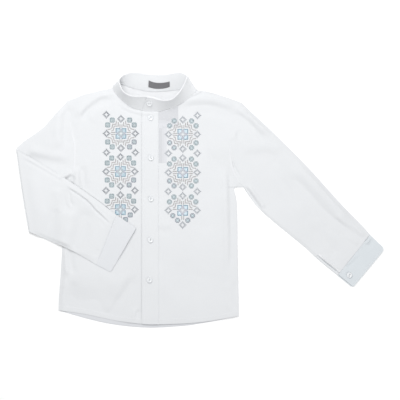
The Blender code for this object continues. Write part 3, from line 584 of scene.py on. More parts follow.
def front_top(point):
    """Height of the upper face of the fronts."""
    inset, from_hem = BODY_EDGES.distance(point), HEM_EDGE.distance(point)
    lift = CROWN * blend(0.6, 1.0, smooth(from_hem / HEM_FALL)) + TOP.height(point) + ripple(point)
    lift = max(smooth(inset / ROLL) * lift, LOWEST_DIP)
    return min(ROLLED + edge_rise(inset) + lift, under_forearm(point))


def forearm_base(along):
    """Height of the under face of the folded forearm, by its share of the way to the wrist."""
    return blend(FOREARM_BASE, CUFF_BASE, smooth((along - 0.45) / 0.35))


def under_forearm(point):
    """The most that cloth may rise at a point in plan, which is little under the forearm."""
    inside = min(run.cross(point.xy - corner) for corner, run in FOREARM_SIDES)
    if inside <= 0:
        return math.inf
    elbow, wrist = FOREARM_AXIS
    along = (point.xy - elbow).dot(wrist - elbow) / (wrist - elbow).length_squared
    return forearm_base(along) - 0.3 + 5 * (1 - smooth(inside / 6))


def placket_top(point):
    return front_top(point) + SEAM_GAP + BAND_WALL


def hanging(point, most):
    """How far the folded forearm has come down at a point past the body and the upper arm."""
    seam_low, seam_high = RIGHT_SIDE_SEAM[0][1], RIGHT_SIDE_SEAM[-1][1]
    side = SIDE_SEAM_RIGHT.at((point.y - seam_low) / (seam_high - seam_low))
    low, high = Vector(RIGHT_ARM_UNDER[0]), Vector(RIGHT_ARM_UNDER[-1])
    if point.x > side.x or (high - low).cross(point.xy - low) < 0:
        return 0.0
    return most * (1 - math.exp(-(SUPPORTS.distance(point) / HANG) ** 2))


def underside_lift(creases, point, unevenness=0.25):
    """How far the hidden underside is off the surface at a point."""
    lift = creases.height(point) + unevenness * ripple(point, 3.0)
    return min(max(lift, 0.0), UNDERSIDE_LIFT)


def back_under(point):
    """Height of the outer face of the back, which rests on the surface."""
    inset = BODY_EDGES.distance(point)
    return ROLLED - edge_rise(inset) + smooth(inset / ROLL) * underside_lift(BACK, point)


# ------------------------------------------------------------------ making a mesh
def mesh_of(name, bm):
    """The mesh of a finished bmesh."""
    mesh = bpy.data.meshes.new(name)
    bm.to_mesh(mesh)
    bm.free()
    return mesh


def finish_piece(name, bm, materials, slot, replaced=(), sharp=60):
    """The object of a finished bmesh, riding on the shirt's one body."""
    for face in bm.faces:
        face.smooth = True
    mesh = mesh_of(name, bm)
    mesh.set_sharp_from_angle(angle=math.radians(sharp))
    for material in materials:
        mesh.materials.append(material)
    piece = bpy.data.objects.new(name, mesh)
    bpy.context.scene.collection.objects.link(piece)
    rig.ride(piece, "root")
    if replaced:
        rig.replaces(piece, *replaced)
    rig.slot(piece, slot)
    return piece


def shaped_grid(rows, uvs, closed=False):
    """A grid moved onto rows of points, with a UV map in metres that follows the cloth."""
    bm = bmesh.new()
    across, along = len(rows[0]) - 1, len(rows) - 1
    bmesh.ops.create_grid(bm, x_segments=across, y_segments=along, size=1)
    layer = bm.loops.layers.uv.new("cloth")
    number = {vert: (round((vert.co.y + 1) / 2 * along), round((vert.co.x + 1) / 2 * across))
              for vert in bm.verts}
    for face in bm.faces:
        for loop in face.loops:
            row, column = number[loop.vert]
            loop[layer].uv = uvs[row][column] * MM
    for vert, (row, column) in number.items():
        vert.co = rows[row][column] * MM
    if closed:
        seam = [vert for vert, (row, column) in number.items() if column in (0, across)]
        bmesh.ops.remove_doubles(bm, verts=seam, dist=0.00001)
    return bm


def flat_grid(rows, uvs, way=UP):
    """A shaped grid that has its faces turned so that most of them look one way."""
    bm = shaped_grid(rows, uvs)
    bm.normal_update()
    if sum(face.normal.dot(way) * face.calc_area() for face in bm.faces) < 0:
        bmesh.ops.reverse_faces(bm, faces=bm.faces)
    return bm


def thicken(piece, thickness, bevel=0.0, second_inside=False):
    """Gives a cloth surface its thickness on its inner side, and rounds its cut edges. A piece with
    second_inside has its second material on its inner side."""
    uses = Counter(key for face in piece.data.polygons for key in face.edge_keys)
    for edge in piece.data.edges:
        if uses[edge.key] == 1:
            edge.use_edge_sharp = True
    solidify = piece.modifiers.new("thickness", "SOLIDIFY")
    solidify.thickness = thickness * MM
    solidify.offset = -1
    solidify.material_offset = int(second_inside)
    if bevel:
        rounding = piece.modifiers.new("rounded_edges", "BEVEL")
        rounding.width = bevel * MM
        rounding.segments = 3
        rounding.limit_method = "ANGLE"
        rounding.angle_limit = math.radians(50)


def surface_tree(piece):
    """A search tree of a piece's outer surface, before it gets its thickness."""
    mesh = piece.data
    return BVHTree.FromPolygons([vert.co for vert in mesh.vertices],
                                [tuple(face.vertices) for face in mesh.polygons])


def lowered(tree, point):
    """The point on top of a piece at a place in plan, and the way the cloth faces there."""
    place, normal, _, _ = tree.ray_cast(Vector((point[0], point[1], OVERHEAD)) * MM, -UP)
    if place is None:
        place, normal, _, _ = tree.find_nearest(Vector((point[0], point[1], CLOTH_LEVEL)) * MM)
    return place / MM, normal if normal.z > 0 else -normal


# ------------------------------------------------------------------ body panels
def collar_line(part):
    return [Vector(getattr(station, part)) for station in COLLAR]


COLLAR_SEAM, COLLAR_RIM = collar_line("seam"), collar_line("rim")


def collar_middle(place, rise):
    """A point of the middle of the band's wall, before any tuck: rise 0 is the seam, 1 the rim."""
    return blend(on_spline(COLLAR_SEAM, place), on_spline(COLLAR_RIM, place), rise)


def collar_normal(place, rise):
    """The unit normal out of the band's inner face."""
    ahead = collar_middle(place + 0.05, rise) - collar_middle(place - 0.05, rise)
    up = collar_middle(place, 1.0) - collar_middle(place, 0.0)
    return ahead.cross(up).normalized()


def collar_point(place, rise, inward):
    """A point at a height of inward over the middle of the wall, on its inner side."""
    number = min(int(place), LAST_STATION - 1)
    tuck = blend(COLLAR[number].tuck, COLLAR[number + 1].tuck, smooth(place - number))
    stand = smooth(collar_middle(place, 1.0).z / STANDING)
    bulge = COLLAR_BULGE * stand * 4 * rise * (1 - rise)
    point = collar_middle(place, rise) + collar_normal(place, rise) * (inward + tuck - bulge)
    point.z = max(point.z, 0.0)
    return point


def neck_edge(start, end, side):
    """The collar's seam line in plan, with the panel's edge run a little way into the collar."""
    points = []
    count = max(2, round(abs(end - start) * 4))
    for step in range(count + 1):
        place = blend(start, end, step / count)
        ahead = collar_middle(place + 0.05, 0).xy - collar_middle(place - 0.05, 0).xy
        outward = Vector((-ahead.y, ahead.x)).normalized()
        standing = smooth(collar_middle(place, 1.0).z / SEAM_STANDING)
        gap = BAND_WALL / 2 * standing - SEAM_TUCK
        points.append(collar_middle(place, 0).xy + outward * gap * side)
    return Line(points)


def hem_share(hem, x):
    """The share of the hem's length at an x."""
    return min((step / 400 for step in range(401)), key=lambda share: abs(hem.at(share).x - x))


def centre_side(hem_point, neck):
    """The edge of a front along the closure, in the same stretches as its outer side."""
    x = neck.at(0).x
    return Side([hem_point, (x, -12)], [(x, -12), (x, -1)], [(x, -1), neck.at(0)], neck)


def outer_side(side_seam, underarm, armhole):
    armhole = Line(armhole)
    return Side(side_seam, underarm, armhole.part(0, 0.68), armhole.part(0.68, 1))


def plan_grid(patch, rows, columns):
    return [[patch.at(across, along) for across in columns] for along in rows]


def panel(node, plan, height, materials, thickness, upward, bevel=0.0):
    """A body panel over its plan, at the height of its outer face."""
    rows = [[Vector((point.x, point.y, height(point))) for point in row] for row in plan]
    bm = flat_grid(rows, plan, UP if upward else -UP)
    piece = finish_piece(node + "_panel", bm, materials, "shirting", [node])
    thicken(piece, thickness, bevel, second_inside=len(materials) > 1)
    return piece


# The back's inner side, seen through the neck, takes the lighter cloth: painted light.
def back_panel(shirting, painted_light_cloth):
    neck = neck_edge(STATION_NUMBER["turn_right"] + 0.55, STATION_NUMBER["fold_edge"] - 0.2, -1)
    hem = Line(BACK_HEM)
    left = Side(LEFT_SIDE_SEAM, LEFT_UNDERARM, LEFT_ARMHOLE)
    low = Side(hem.part(0, 0.33), hem.part(0.33, 0.74), hem.part(0.74, 1))
    high = Side(RIGHT_SHOULDER + [RIGHT_NECK_CORNER, neck.at(0)], neck,
                [neck.at(1), LEFT_NECK_CORNER] + LEFT_SHOULDER)
    patch = Patch(Side(RIGHT_SIDE_SEAM, RIGHT_UNDERARM, RIGHT_ARMHOLE), left, low, high)
    plan = plan_grid(patch, spaced(left.lengths, last=ROLL_MARKS),
                     spaced(low.lengths, first=ROLL_MARKS, last=ROLL_MARKS))
    return panel("back", plan, back_under, [shirting, painted_light_cloth], CLOTH, False)


def front_panel(node, neck, outer, shoulder, shirting):
    """A front, between its outer side and the closure."""
    hem = Line(FRONT_HEM)
    split = hem_share(hem, neck.at(0).x)
    centre = centre_side(hem.at(split), neck)
    if node == "front_right":
        start, end, low, marks = outer, centre, Side(hem.part(0, split)), {"first": ROLL_MARKS}
    else:
        start, end, low, marks = centre, outer, Side(hem.part(split, 1)), {"last": ROLL_MARKS}
    plan = plan_grid(Patch(start, end, low, Side(shoulder)), spaced(outer.lengths, last=ROLL_MARKS),
                     spaced(low.lengths, **marks))
    return panel(node, plan, front_top, [shirting], CLOTH, True)


def fronts(shirting):
    neck = neck_edge(0.37, STATION_NUMBER["turn_right"] - 0.4, 1)
    outer = outer_side(RIGHT_SIDE_SEAM, RIGHT_UNDERARM, RIGHT_ARMHOLE)
    right = front_panel("front_right", neck, outer, RIGHT_SHOULDER + [neck.at(1)], shirting)
    neck = neck_edge(STATION_NUMBER["upper_left"] + 0.3, STATION_NUMBER["fold_edge"] + 0.3, 1)
    outer = outer_side(LEFT_SIDE_SEAM, LEFT_UNDERARM, LEFT_ARMHOLE)
    return right, front_panel("front_left", neck, outer, [neck.at(1)] + LEFT_SHOULDER, shirting)


def placket_piece(shirting):
    neck = neck_edge(STATION_NUMBER["upper_left"] + 0.05, STATION_NUMBER["upper_end"], 1)
    hem = Line(FRONT_HEM)
    low = hem.part(hem_share(hem, PLACKET_EDGE), hem_share(hem, PLACKET_SEAM))
    high = Line([(PLACKET_EDGE, neck.at(1).y), (0, neck.at(0.5).y), (PLACKET_SEAM, neck.at(0).y)])
    free, sewn = Line([low.at(0), high.at(0)]), Line([low.at(1), high.at(1)])
    patch = Patch(Side(free), Side(sewn), Side(low), Side(high))
    plan = plan_grid(patch, spaced([free.length]), spaced([low.length], first=(0, 0.8), last=(0, 0.8)))

    def height(point):
        sewn_down = smooth((PLACKET_SEAM - point.x) / 4)
        return placket_top(point) - blend(0.9, 0.0, sewn_down)

    return panel("placket", plan, height, [shirting], BAND_CLOTH, True, bevel=0.3)


# ------------------------------------------------------------------ sleeves and cuffs
def flat_ring(plan, count, middle, lift, hidden=0.0, radius=ROLLED):
    """(share of width, height) round a flattened tube: its upper face from edge to edge, then its
    lower face back. lift and hidden give what is added to the upper and lower faces."""
    width = (plan(1.0) - plan(0.0)).length
    near = [share * radius for share in EDGE_STEPS] + [radius + RING_STEP]
    between = width - 2 * near[-1]
    marks = near + [near[-1] + between * step / count for step in range(1, count)]
    marks += [width - mark for mark in reversed(near)]
    upper, lower = [], []
    for mark in marks:
        inset, share = min(mark, width - mark), mark / width
        point, rise = plan(share), edge_rise(inset, radius)
        rolled = smooth(inset / ROLL)
        upper.append((share, middle + rise + rolled * max(lift(point), LOWEST_DIP)))
        under = hidden(point) if callable(hidden) else hidden
        lower.append((share, middle - rise + rolled * under))
    return upper + lower[-2:0:-1]


def turned_over(loop):
    """The same loop, read with its upper and lower faces changed over."""
    half = len(loop) // 2
    upper, lower = loop[:half + 1], loop[half + 1:]
    return [upper[0]] + lower[::-1] + [upper[-1]] + upper[-2:0:-1]


def tube_piece(name, node, rings, lengths, material, thickness, bevel):
    """A flattened tube from its rings of points, with its weave running along it."""
    rows, uvs = [], []
    for ring, length in zip(rings, lengths):
        ring = ring + ring[:1]
        reach = reaches(ring)
        rows.append(ring)
        uvs.append([Vector((mark - reach[-1] / 4, length)) for mark in reach])
    bm = shaped_grid(rows, uvs, closed=True)
    bm.normal_update()
    upper = [face for face in bm.faces if face.normal.z > 0.5]
    middle = sum((face.calc_center_median().z for face in bm.faces), 0.0) / len(bm.faces)
    high = sum((face.calc_center_median().z for face in upper), 0.0) / max(len(upper), 1)
    if high < middle:
        bmesh.ops.reverse_faces(bm, faces=bm.faces)
    slot = "cuff_cloth" if node.startswith("cuff") else "shirting"
    piece = finish_piece(name, bm, [material], slot, [node])
    thicken(piece, thickness, bevel)
    return piece


def ring_points(loop, plan, squeeze=0.0, push=Vector((0, 0)), raise_to=None):
    """Places a ring. squeeze narrows and flattens it where it runs into a cuff."""
    points = []
    for share, height in loop:
        point = plan(blend(share, 0.5, squeeze * 0.035)) + push
        if raise_to is not None:
            height = blend(height, raise_to[1] + (height - raise_to[0]) * 0.42, squeeze)
        points.append(Vector((point.x, point.y, height)))
    return points


def across_patch(patch, along):
    return lambda share: patch.at(share, along)


def joined(points, first, last=None):
    """A line through the points, with its ends moved to those given."""
    points = [Vector(point) for point in points]
    points[0] = first
    if last is not None:
        points[-1] = last
    return Line(points)


def into_cuff(patch, count, middle, lift, hidden, run, cuff_middle):
    """The last rings of a sleeve: they close up and run on into the cuff."""
    rings = []
    plan = across_patch(patch, 1.0)
    for push, squeeze in CUFF_RINGS:
        loop = flat_ring(plan, count, middle, lambda point: lift(point) * 0.1, hidden)
        rings.append(ring_points(loop, plan, squeeze, run * push, (middle, cuff_middle)))
    return rings


def straight_sleeve(shirting):
    armhole = Line(LEFT_ARMHOLE)
    under = joined(LEFT_SLEEVE_UNDER, first=armhole.at(0))
    top = joined(LEFT_SLEEVE_TOP, first=armhole.at(1))
    wrist = Line([under.at(1), top.at(1)])
    patch = Patch(Side(under), Side(top), Side(armhole), Side(wrist))
    length = (under.length + top.length) / 2
    rings, lengths = [], []

    def lift_at(along):
        crown = blend(CROWN, SLEEVE_CROWN, smooth(along * 4)) * blend(1, 0.6, smooth(along * 3 - 2))
        closing = blend(0.3, 1.0, smooth((1 - along) * length / 14))
        return lambda point: (crown + TOP.height(point) + ripple(point)) * closing

    for along in spaced([length]):
        plan = across_patch(patch, along)
        loop = flat_ring(plan, LEFT_ROUND, ROLLED, lift_at(along),
                         lambda point: underside_lift(SLEEVE_BACK, point))
        rings.append(ring_points(loop, plan))
        lengths.append(along * length)
    run = (Vector(LEFT_CUFF_END[0]) - wrist.at(0)).normalized()
    rings += into_cuff(patch, LEFT_ROUND, ROLLED, lift_at(1.0), 0.0, run, CUFF_RADIUS)
    lengths += [length + push for push, _ in CUFF_RINGS]
    return tube_piece("sleeve_left_cloth", "sleeve_left", rings, lengths, shirting, CLOTH, 0.0)


def folded_sleeve(shirting):
    """The sleeve turned back at the elbow: upper arm, the turn, then the forearm above it."""
    axis_height = 2 * ROLLED + FOLD_CROWN + FOLD_INNER
    low, high = Vector(ELBOW_LINE[0]), Vector(ELBOW_LINE[-1])
    run = (high - low).normalized()
    outward = Vector((-run.y, run.x))
    elbow = Line([Vector(point) - outward * axis_height for point in ELBOW_LINE])
    elbow_back = Line([elbow.at(0), elbow.at(0.5), FOREARM_TOP[0]])
    armhole = Line(RIGHT_ARMHOLE)
    under = joined(RIGHT_ARM_UNDER, first=armhole.at(0), last=elbow.at(0))
    top = joined(RIGHT_ARM_TOP, first=armhole.at(1), last=elbow.at(1))
    upper_arm = Patch(Side(under), Side(top), Side(armhole), Side(elbow))
    wrist = Line([FOREARM_UNDER[-1], FOREARM_TOP[-1]])
    lower_side, upper_side = joined(FOREARM_UNDER, first=elbow_back.at(0)), Line(FOREARM_TOP)
    forearm = Patch(Side(lower_side), Side(upper_side), Side(elbow_back), Side(wrist))
    upper_length = (under.length + top.length) / 2
    fore_length = (lower_side.length + upper_side.length) / 2
    rings, lengths = [], []

    for along in spaced([upper_length]):
        crown = blend(CROWN, SLEEVE_CROWN, smooth(along * 4))
        crown = blend(crown, FOLD_CROWN, smooth(along * 4 - 3))
        fading = smooth((1 - along) * 6)

        def lift(point):
            sleeve = crown + (TOP.height(point) + ripple(point)) * fading
            return min(sleeve, under_forearm(point) - 2 * ROLLED)

        plan = across_patch(upper_arm, along)
        loop = flat_ring(plan, RIGHT_ROUND, ROLLED, lift,
                         lambda point: underside_lift(SLEEVE_BACK, point, 0.0) * fading)
        rings.append(ring_points(loop, plan))
        lengths.append(along * upper_length)

    for stage in range(1, ELBOW_TURNS):
        turn = math.pi * stage / ELBOW_TURNS
        ring = []
        for share, height in flat_ring(elbow.at, RIGHT_ROUND, ROLLED, lambda point: FOLD_CROWN):
            reach = axis_height - height
            point = blend(elbow.at(share), elbow_back.at(share), turn / math.pi)
            point = point + outward * (reach * math.sin(turn))
            ring.append(Vector((point.x, point.y, axis_height - reach * math.cos(turn))))
        rings.append(ring)
        lengths.append(upper_length + axis_height * turn)

    start = upper_length + axis_height * math.pi
    fold_middle = 2 * axis_height - ROLLED
    for along in spaced([fore_length]):
        settle = smooth(along * 5)
        base = forearm_base(along)
        crown = SLEEVE_CROWN * settle * blend(1, 0.5, smooth(along * 3 - 2))
        starting, closing = smooth(along * 8), smooth((1 - along) * fore_length / 9)

        def lift(point):
            return (crown + (FOREARM.height(point) + ripple(point, 9.0)) * starting) * closing

        plan = across_patch(forearm, along)
        middle = blend(fold_middle, base + ROLLED, settle)
        loop = flat_ring(plan, RIGHT_ROUND, middle, lift, -FOLD_CROWN * (1 - settle))
        ring = [point - UP * hanging(point, base - 0.4) * settle for point in ring_points(loop, plan)]
        rings.append(turned_over(ring))
        lengths.append(start + along * fore_length)
    run = (Vector(RIGHT_CUFF_END[0]) - wrist.at(0)).normalized()
    middle, cuff_middle = CUFF_BASE + ROLLED, CUFF_BASE + CUFF_RADIUS
    rings += [turned_over(ring) for ring in
              into_cuff(forearm, RIGHT_ROUND, middle, lambda point: 0.0, 0.0, run, cuff_middle)]
    lengths += [start + fore_length + push for push, _ in CUFF_RINGS]
    return tube_piece("sleeve_right_cloth", "sleeve_right", rings, lengths, shirting, CLOTH, 0.0)


def cuff(name, node, seam, end, base, corner, cloth):
    """A cuff: a short flat band of double cloth with rounded far corners."""
    near, far = [Vector(point) for point in seam], [Vector(point) for point in end]
    depths = [(far[side] - near[side]).normalized() for side in (0, 1)]
    near = [point + depths[0] * 0.1 for point in near]
    width = (far[1] - far[0]).normalized()

    def corner_points(side):
        along = width if side == 0 else -width
        return [far[side] + along * corner * (1 - math.cos(turn))
                - depths[side] * corner * (1 - math.sin(turn))
                for turn in (math.pi / 16 * step for step in range(9))]

    start, finish = corner_points(0), corner_points(1)[::-1]
    rounded = Line(start + finish, rounded=False)
    patch = Patch(Side([near[0], rounded.at(0)]), Side([near[1], rounded.at(1)]), Side(near),
                  Side(rounded))
    depth = (rounded.at(0.5) - (near[0] + near[1]) / 2).length
    rings, lengths = [], []

    def lift(point):
        return CUFF_CROWN + 0.5 * ripple(point, 5.0) + CUFF_FOLDS.height(point)

    for along in spaced([depth], first=(0, 0.7), last=(0, 0.7)):
        plan = across_patch(patch, along)
        loop = flat_ring(plan, CUFF_ROUND, base + CUFF_RADIUS, lift, radius=CUFF_RADIUS)
        rings.append(ring_points(loop, plan))
        lengths.append(along * depth)
    return tube_piece(name, node, rings, lengths, cloth, BAND_CLOTH, 0.45)


# ------------------------------------------------------------------ collar and label
def collar_places(rise):
    """Places along the whole collar, each with how far along it is at a height."""
    places = [step / COLLAR_STEPS for step in range(LAST_STATION * COLLAR_STEPS + 1)]
    return zip(places, reaches([collar_middle(place, rise) for place in places]))


def collar(shirting):
    rises = [0, 0.02] + [step / 16 for step in range(1, 16)] + [0.98, 1.0]
    rows, uvs = [], []
    for place, reach in collar_places(0.5):
        rows.append([collar_point(place, rise, -BAND_WALL / 2) for rise in rises])
        height = (collar_middle(place, 1.0) - collar_middle(place, 0.0)).length
        uvs.append([Vector((rise * height, reach)) for rise in rises])
    bm = shaped_grid(rows, uvs)
    bm.normal_update()
    front = LAST_STATION - 3
    middle = rows[front * COLLAR_STEPS][8] * MM
    sample = [face for face in bm.faces if (face.calc_center_median() - middle).length < 4 * MM]
    outward = -collar_normal(front, 0.5)
    if sum(face.normal.dot(outward) for face in sample) < 0:
        bmesh.ops.reverse_faces(bm, faces=bm.faces)
    piece = finish_piece("collar_band", bm, [shirting], "shirting", ["collar"])
    thicken(piece, COLLAR_CLOTH, bevel=0.35)
    return piece


def collar_edge(cloth):
    """The turned upper edge of the band, a soft bead along its rim, in a lighter cloth: a painted highlight along the
    rim.
    """
    rows, uvs = [], []
    turns = [math.tau * number / 12 for number in range(13)]
    for place, reach in collar_places(1.0):
        inward = collar_normal(place, 1.0)
        up = (collar_middle(place, 1.0) - collar_middle(place, 0.0)).normalized()
        middle = collar_point(place, 0.985, COLLAR_INSIDE - COLLAR_CLOTH / 2)
        ring = [middle + (inward * math.cos(turn) + up * math.sin(turn)) * EDGE_BEAD for turn in turns]
        rows.append([Vector((point.x, point.y, max(point.z, 0.05))) for point in ring])
        uvs.append([Vector((turn * EDGE_BEAD, reach)) for turn in turns])
    bm = shaped_grid(rows, uvs, closed=True)
    bmesh.ops.holes_fill(bm, edges=[edge for edge in bm.edges if edge.is_boundary], sides=0)
    bmesh.ops.recalc_face_normals(bm, faces=bm.faces)
    return finish_piece("collar_turned_edge", bm, [cloth], "shirting")


def label_point(share, drop):
    """A point on the label's outer face: share runs from its right end to its left, drop from its
    lower edge to its upper one."""
    place = blend(*LABEL_STATIONS, share)
    sag = (2 * share - 1) ** 2
    edges = [blend(middle, right if share < 0.5 else left, sag)
             for right, middle, left in (LABEL_LOW, LABEL_HIGH)]
    turned_under = 0.45 * (1 - smooth(min(share, 1 - share) * LABEL_ENDS))
    wave = 0.25 * math.sin(share * math.pi * 3 + 0.6) * sag
    lying = COLLAR_INSIDE + LABEL_CLOTH + 0.35 + turned_under + wave
    return collar_point(place, blend(*edges, drop), lying)


def label(tape):
    """A bare woven tape, turned under at both ends and sewn to the inner face of the collar."""
    shares, drops = [step / 36 for step in range(37)], [step / 12 for step in range(13)]
    rows = [[label_point(share, drop) for drop in drops] for share in shares]
    length, width = LABEL_SIZE
    uvs = [[Vector((share * length, drop * width)) for drop in drops] for share in shares]
    bm = flat_grid(rows, uvs)
    piece = finish_piece("label_tape_piece", bm, [tape], "label_tape", ["label"])
    thicken(piece, LABEL_CLOTH, bevel=0.15)
    return piece


def label_stitches(template, thread):
    """A row of close stitches down each end of the label."""
    placings = []
    for share in (0.04, 0.96):
        down = [(label_point(share, drop / 20), UP) for drop in range(1, 20)]
        placings += stitch_run(down, template)
    return many("label_stitching", placings, [thread])


# ------------------------------------------------------------------ bands of cloth sewn on or turned
def strip(name, line, profile, tree, material, taper=0.0):
    """A narrow band along a line in plan, over what lies there. profile gives each point's distance
    to the left of the line and its height over the cloth. taper is how far it narrows to its ends."""
    count = max(2, round(line.length / STRIP_SPACING))
    rows, uvs = [], []
    for number in range(count + 1):
        share = number / count
        point = line.at(share)
        ahead = (line.at(min(share + 0.01, 1)) - line.at(max(share - 0.01, 0))).normalized()
        left = Vector((-ahead.y, ahead.x))
        row = []
        narrow = smooth(min(share, 1 - share) * line.length / taper + 0.05) if taper else 1.0
        for aside, rise in profile:
            place = point + left * aside * narrow
            under, _ = lowered(tree, place)
            row.append(Vector((place.x, place.y, under.z + rise)))
        rows.append(row)
        uvs.append([Vector((aside, share * line.length)) for aside, _ in profile])
    return finish_piece(name, flat_grid(rows, uvs), [material], "shirting", sharp=80)


def hem_profile(width, height=0.33):
    return [(-0.35, -0.75), (-0.4, -0.2), (-0.1, height * 0.7), (0.8, height), (width / 2, height),
            (width - 1.4, height), (width - 0.5, height * 0.7), (width, -0.25)]


# Profiles of the other strips, and how far each band of the closure facing, in painted shade,
# reaches from the placket's seam
SLIT_BINDING = [(0.9, -0.4), (1.0, 0.3), (1.6, 0.7), (3.2, 0.78), (4.7, 0.7), (5.2, 0.35), (5.3, -0.4)]
SLIT_SHADE = [(5.1, -0.3), (5.3, 0.1), (6.4, 0.14), (7.4, 0.1), (7.6, -0.3)]
SLIT_LIP = [(7.3, -0.3), (7.5, 0.3), (8.6, 0.5), (10.0, 0.35), (11.0, -0.3)]
CUFF_LAP = [(1.2, -0.3), (1.4, 0.06), (2.8, 0.06), (3.0, -0.3)]
SEAM_RIDGE = [(-2.6, -0.3), (-2.0, 0.12), (-0.8, 0.35), (0.8, 0.35), (2.0, 0.12), (2.6, -0.3)]
CLOSURE_FACING_SHADES = [(0.2, 6.8), (6.8, 11.5), (11.5, 16.5)]
CLOSURE_RUN = (50, 130)
FACING_FOOT = 121.0       # lower edge of the neck facing
FACING_TOP, FACING_FADE = 148, 16        # its painted shade fades from here down, over so much
# Where strips run, as shares of the armholes, of the sleeve's under edge and of the cuff's
RIGHT_SEAM_PART, LEFT_SEAM_PART = (0.12, 0.76), (0.02, 0.56)
SLIT_PART, LAP_PART = (0.78, 0.995), (0.02, 0.9)
SEAM_TAPER = 40           # how far before its ends a seam's ridge narrows


def neck_facing(cloths, tree):
    """Where the neck facing shows through the wearer's left front, beside the placket, in three greys
    of painted shade that fade downwards.
    """
    neck = neck_edge(STATION_NUMBER["front_left_2"] + 0.2, STATION_NUMBER["upper_left"] + 0.35, 1)
    rows, uvs = [], []
    for number in range(21):
        edge = neck.at(number / 20)
        low = Vector((edge.x, FACING_FOOT + 1.5 * math.sin(edge.x / 6)))
        row = [blend(edge, low, step / 12) for step in range(13)]
        rows.append([lowered(tree, point)[0] + UP * (0.06 if 0 < step < 12 else -0.3)
                     for step, point in enumerate(row)])
        uvs.append(row)
    bm = flat_grid(rows, uvs)
    # Darkest next to the collar, lighter further down: painted shade.
    for face in bm.faces:
        drop = (FACING_TOP - face.calc_center_median().y / MM) / FACING_FADE
        face.material_index = 0 if drop < 0.5 else 1 if drop < 0.85 else 2
    return finish_piece("front_left_neck_facing_shade", bm, cloths, "shirting")


# ------------------------------------------------------------------ thread
def grain_mesh(name, half_length, half_width, half_height, rings=4):
    """One short length of thread: a plump strand with blunt ends, along X."""
    bm = bmesh.new()
    bm.loops.layers.uv.new("thread")
    bmesh.ops.create_uvsphere(bm, u_segments=6, v_segments=rings, radius=1, calc_uvs=True)
    bmesh.ops.rotate(bm, verts=bm.verts, cent=(0, 0, 0), matrix=Matrix.Rotation(math.pi / 2, 3, "Y"))
    for vert in bm.verts:
        vert.co.x = math.copysign(abs(vert.co.x) ** 0.5, vert.co.x)
    bmesh.ops.scale(bm, verts=bm.verts, vec=Vector((half_length, half_width, half_height)) * MM)
    for face in bm.faces:
        face.smooth = True
    return mesh_of(name, bm)


def cross_mesh(pitch):
    """One cross stitch: two strands over each other, a cell wide."""
    bm = bmesh.new()
    for turn, rise in ((45, 0.10), (-45, 0.36)):
        strand = grain_mesh("strand", pitch * 0.69, pitch * 0.22, 0.28)
        place = Matrix.Translation((0, 0, rise * MM)) @ Matrix.Rotation(math.radians(turn), 4, "Z")
        strand.transform(place)
        bm.from_mesh(strand)
        bpy.data.meshes.remove(strand)
    return mesh_of("cross", bm)


def many(name, placings, materials):
    """One piece of many small copies: each placing is a mesh, a matrix and a material number. Each
    copy's UV map is moved to a square of its own, so that threads can differ in tone."""
    bm = bmesh.new()
    for number, (template, matrix, material) in enumerate(placings):
        copy = template.copy()
        copy.transform(matrix)
        for entry in copy.uv_layers[0].uv:
            entry.vector += Vector((number % 61, number // 61))
        if material:
            copy.polygons.foreach_set("material_index", [material] * len(copy.polygons))
        bm.from_mesh(copy)
        bpy.data.meshes.remove(copy)
    return finish_piece(name, bm, materials, "shirting", sharp=180)


def laid_matrix(point, ahead, up, scale=1.0):
    """A placing on the cloth: X along ahead, Z along up."""
    across = up.cross(ahead).normalized()
    ahead = across.cross(up).normalized()
    turn = Matrix((ahead, across, up)).transposed().to_4x4()
    return Matrix.Translation(point * MM) @ turn @ Matrix.Scale(scale, 4)


def stitch_run(points, template):
    """Placings of stitches along (point, way the cloth faces) pairs that are close together."""
    placings = []
    reach = reaches([point for point, _ in points])
    start = STITCH_GAP / 2
    while start + STITCH < reach[-1]:
        number = min(bisect_right(reach, start + STITCH / 2), len(points) - 1)
        (near, up), (far, _) = points[number - 1], points[number]
        share = (start + STITCH / 2 - reach[number - 1]) / (reach[number] - reach[number - 1])
        middle = blend(near, far, share) + up * (STITCH_RADIUS * 0.5 - STITCH_SUNK)
        placings.append((template, laid_matrix(middle, far - near, up), 0))
        start += STITCH + STITCH_GAP
    return placings


def laid_line(line, tree, aside=0.0, lift=0.0):
    """Points on top of the cloth along a line in plan, and the way the cloth faces there."""
    line = line.moved(aside) if aside else line
    count = max(2, round(line.length / ROW_SPACING))
    points = []
    for number in range(count + 1):
        point, up = lowered(tree, line.at(number / count))
        points.append((point + up * lift, up))
    return points


def collar_run(rise, start, end, inward):
    """Points on one face of the collar along its length, at a height over the middle of its wall."""
    count = round((end - start) / COLLAR_ROW_SPACING)
    points = []
    for number in range(count + 1):
        place = blend(start, end, number / count)
        facing = collar_normal(place, rise) * math.copysign(1, inward)
        points.append((collar_point(place, rise, inward), facing))
    return points


# ------------------------------------------------------------------ embroidery
PITCH = 2.1               # one cross stitch
RIGHT_MOTIFS = [(-61.9, 112.3), (-63.0, 32.5), (-63.0, -47.5)]
LEFT_MOTIFS = [(68.0, 110.5), (67.8, 30.5), (67.6, -49.1)]
MOTIF_PERIOD = 38.0       # stitches from one motif's middle to the next
GREY, MIST, TEAL, PALE_TEAL, ICE, LILAC, SLATE, AQUA, BLUE, STEEL, SAND, SAGE = range(12)

# Places of the small figures in stitches from a motif's middle, for one quarter or half of it
BLOBS = [(8.7, 13.4), (13.2, 8.5)]
CLOSING_BLOBS = [(9.8, -5.3), (5.1, -9.9)]
CHEVRONS = [
    [(4.7, 12.3), (4.7, 9.2), (8.3, 9.2), (8.8, 6.0), (10.3, 4.4), (12.9, 4.1)],
    [(2.7, 11.1), (2.7, 7.4), (6.8, 7.4), (7.6, 3.0), (9.1, 2.6)],
]
RAYS = [[(6.2, 1.0), (9.6, 1.0)], [(1.0, 6.2), (1.0, 8.9)]]


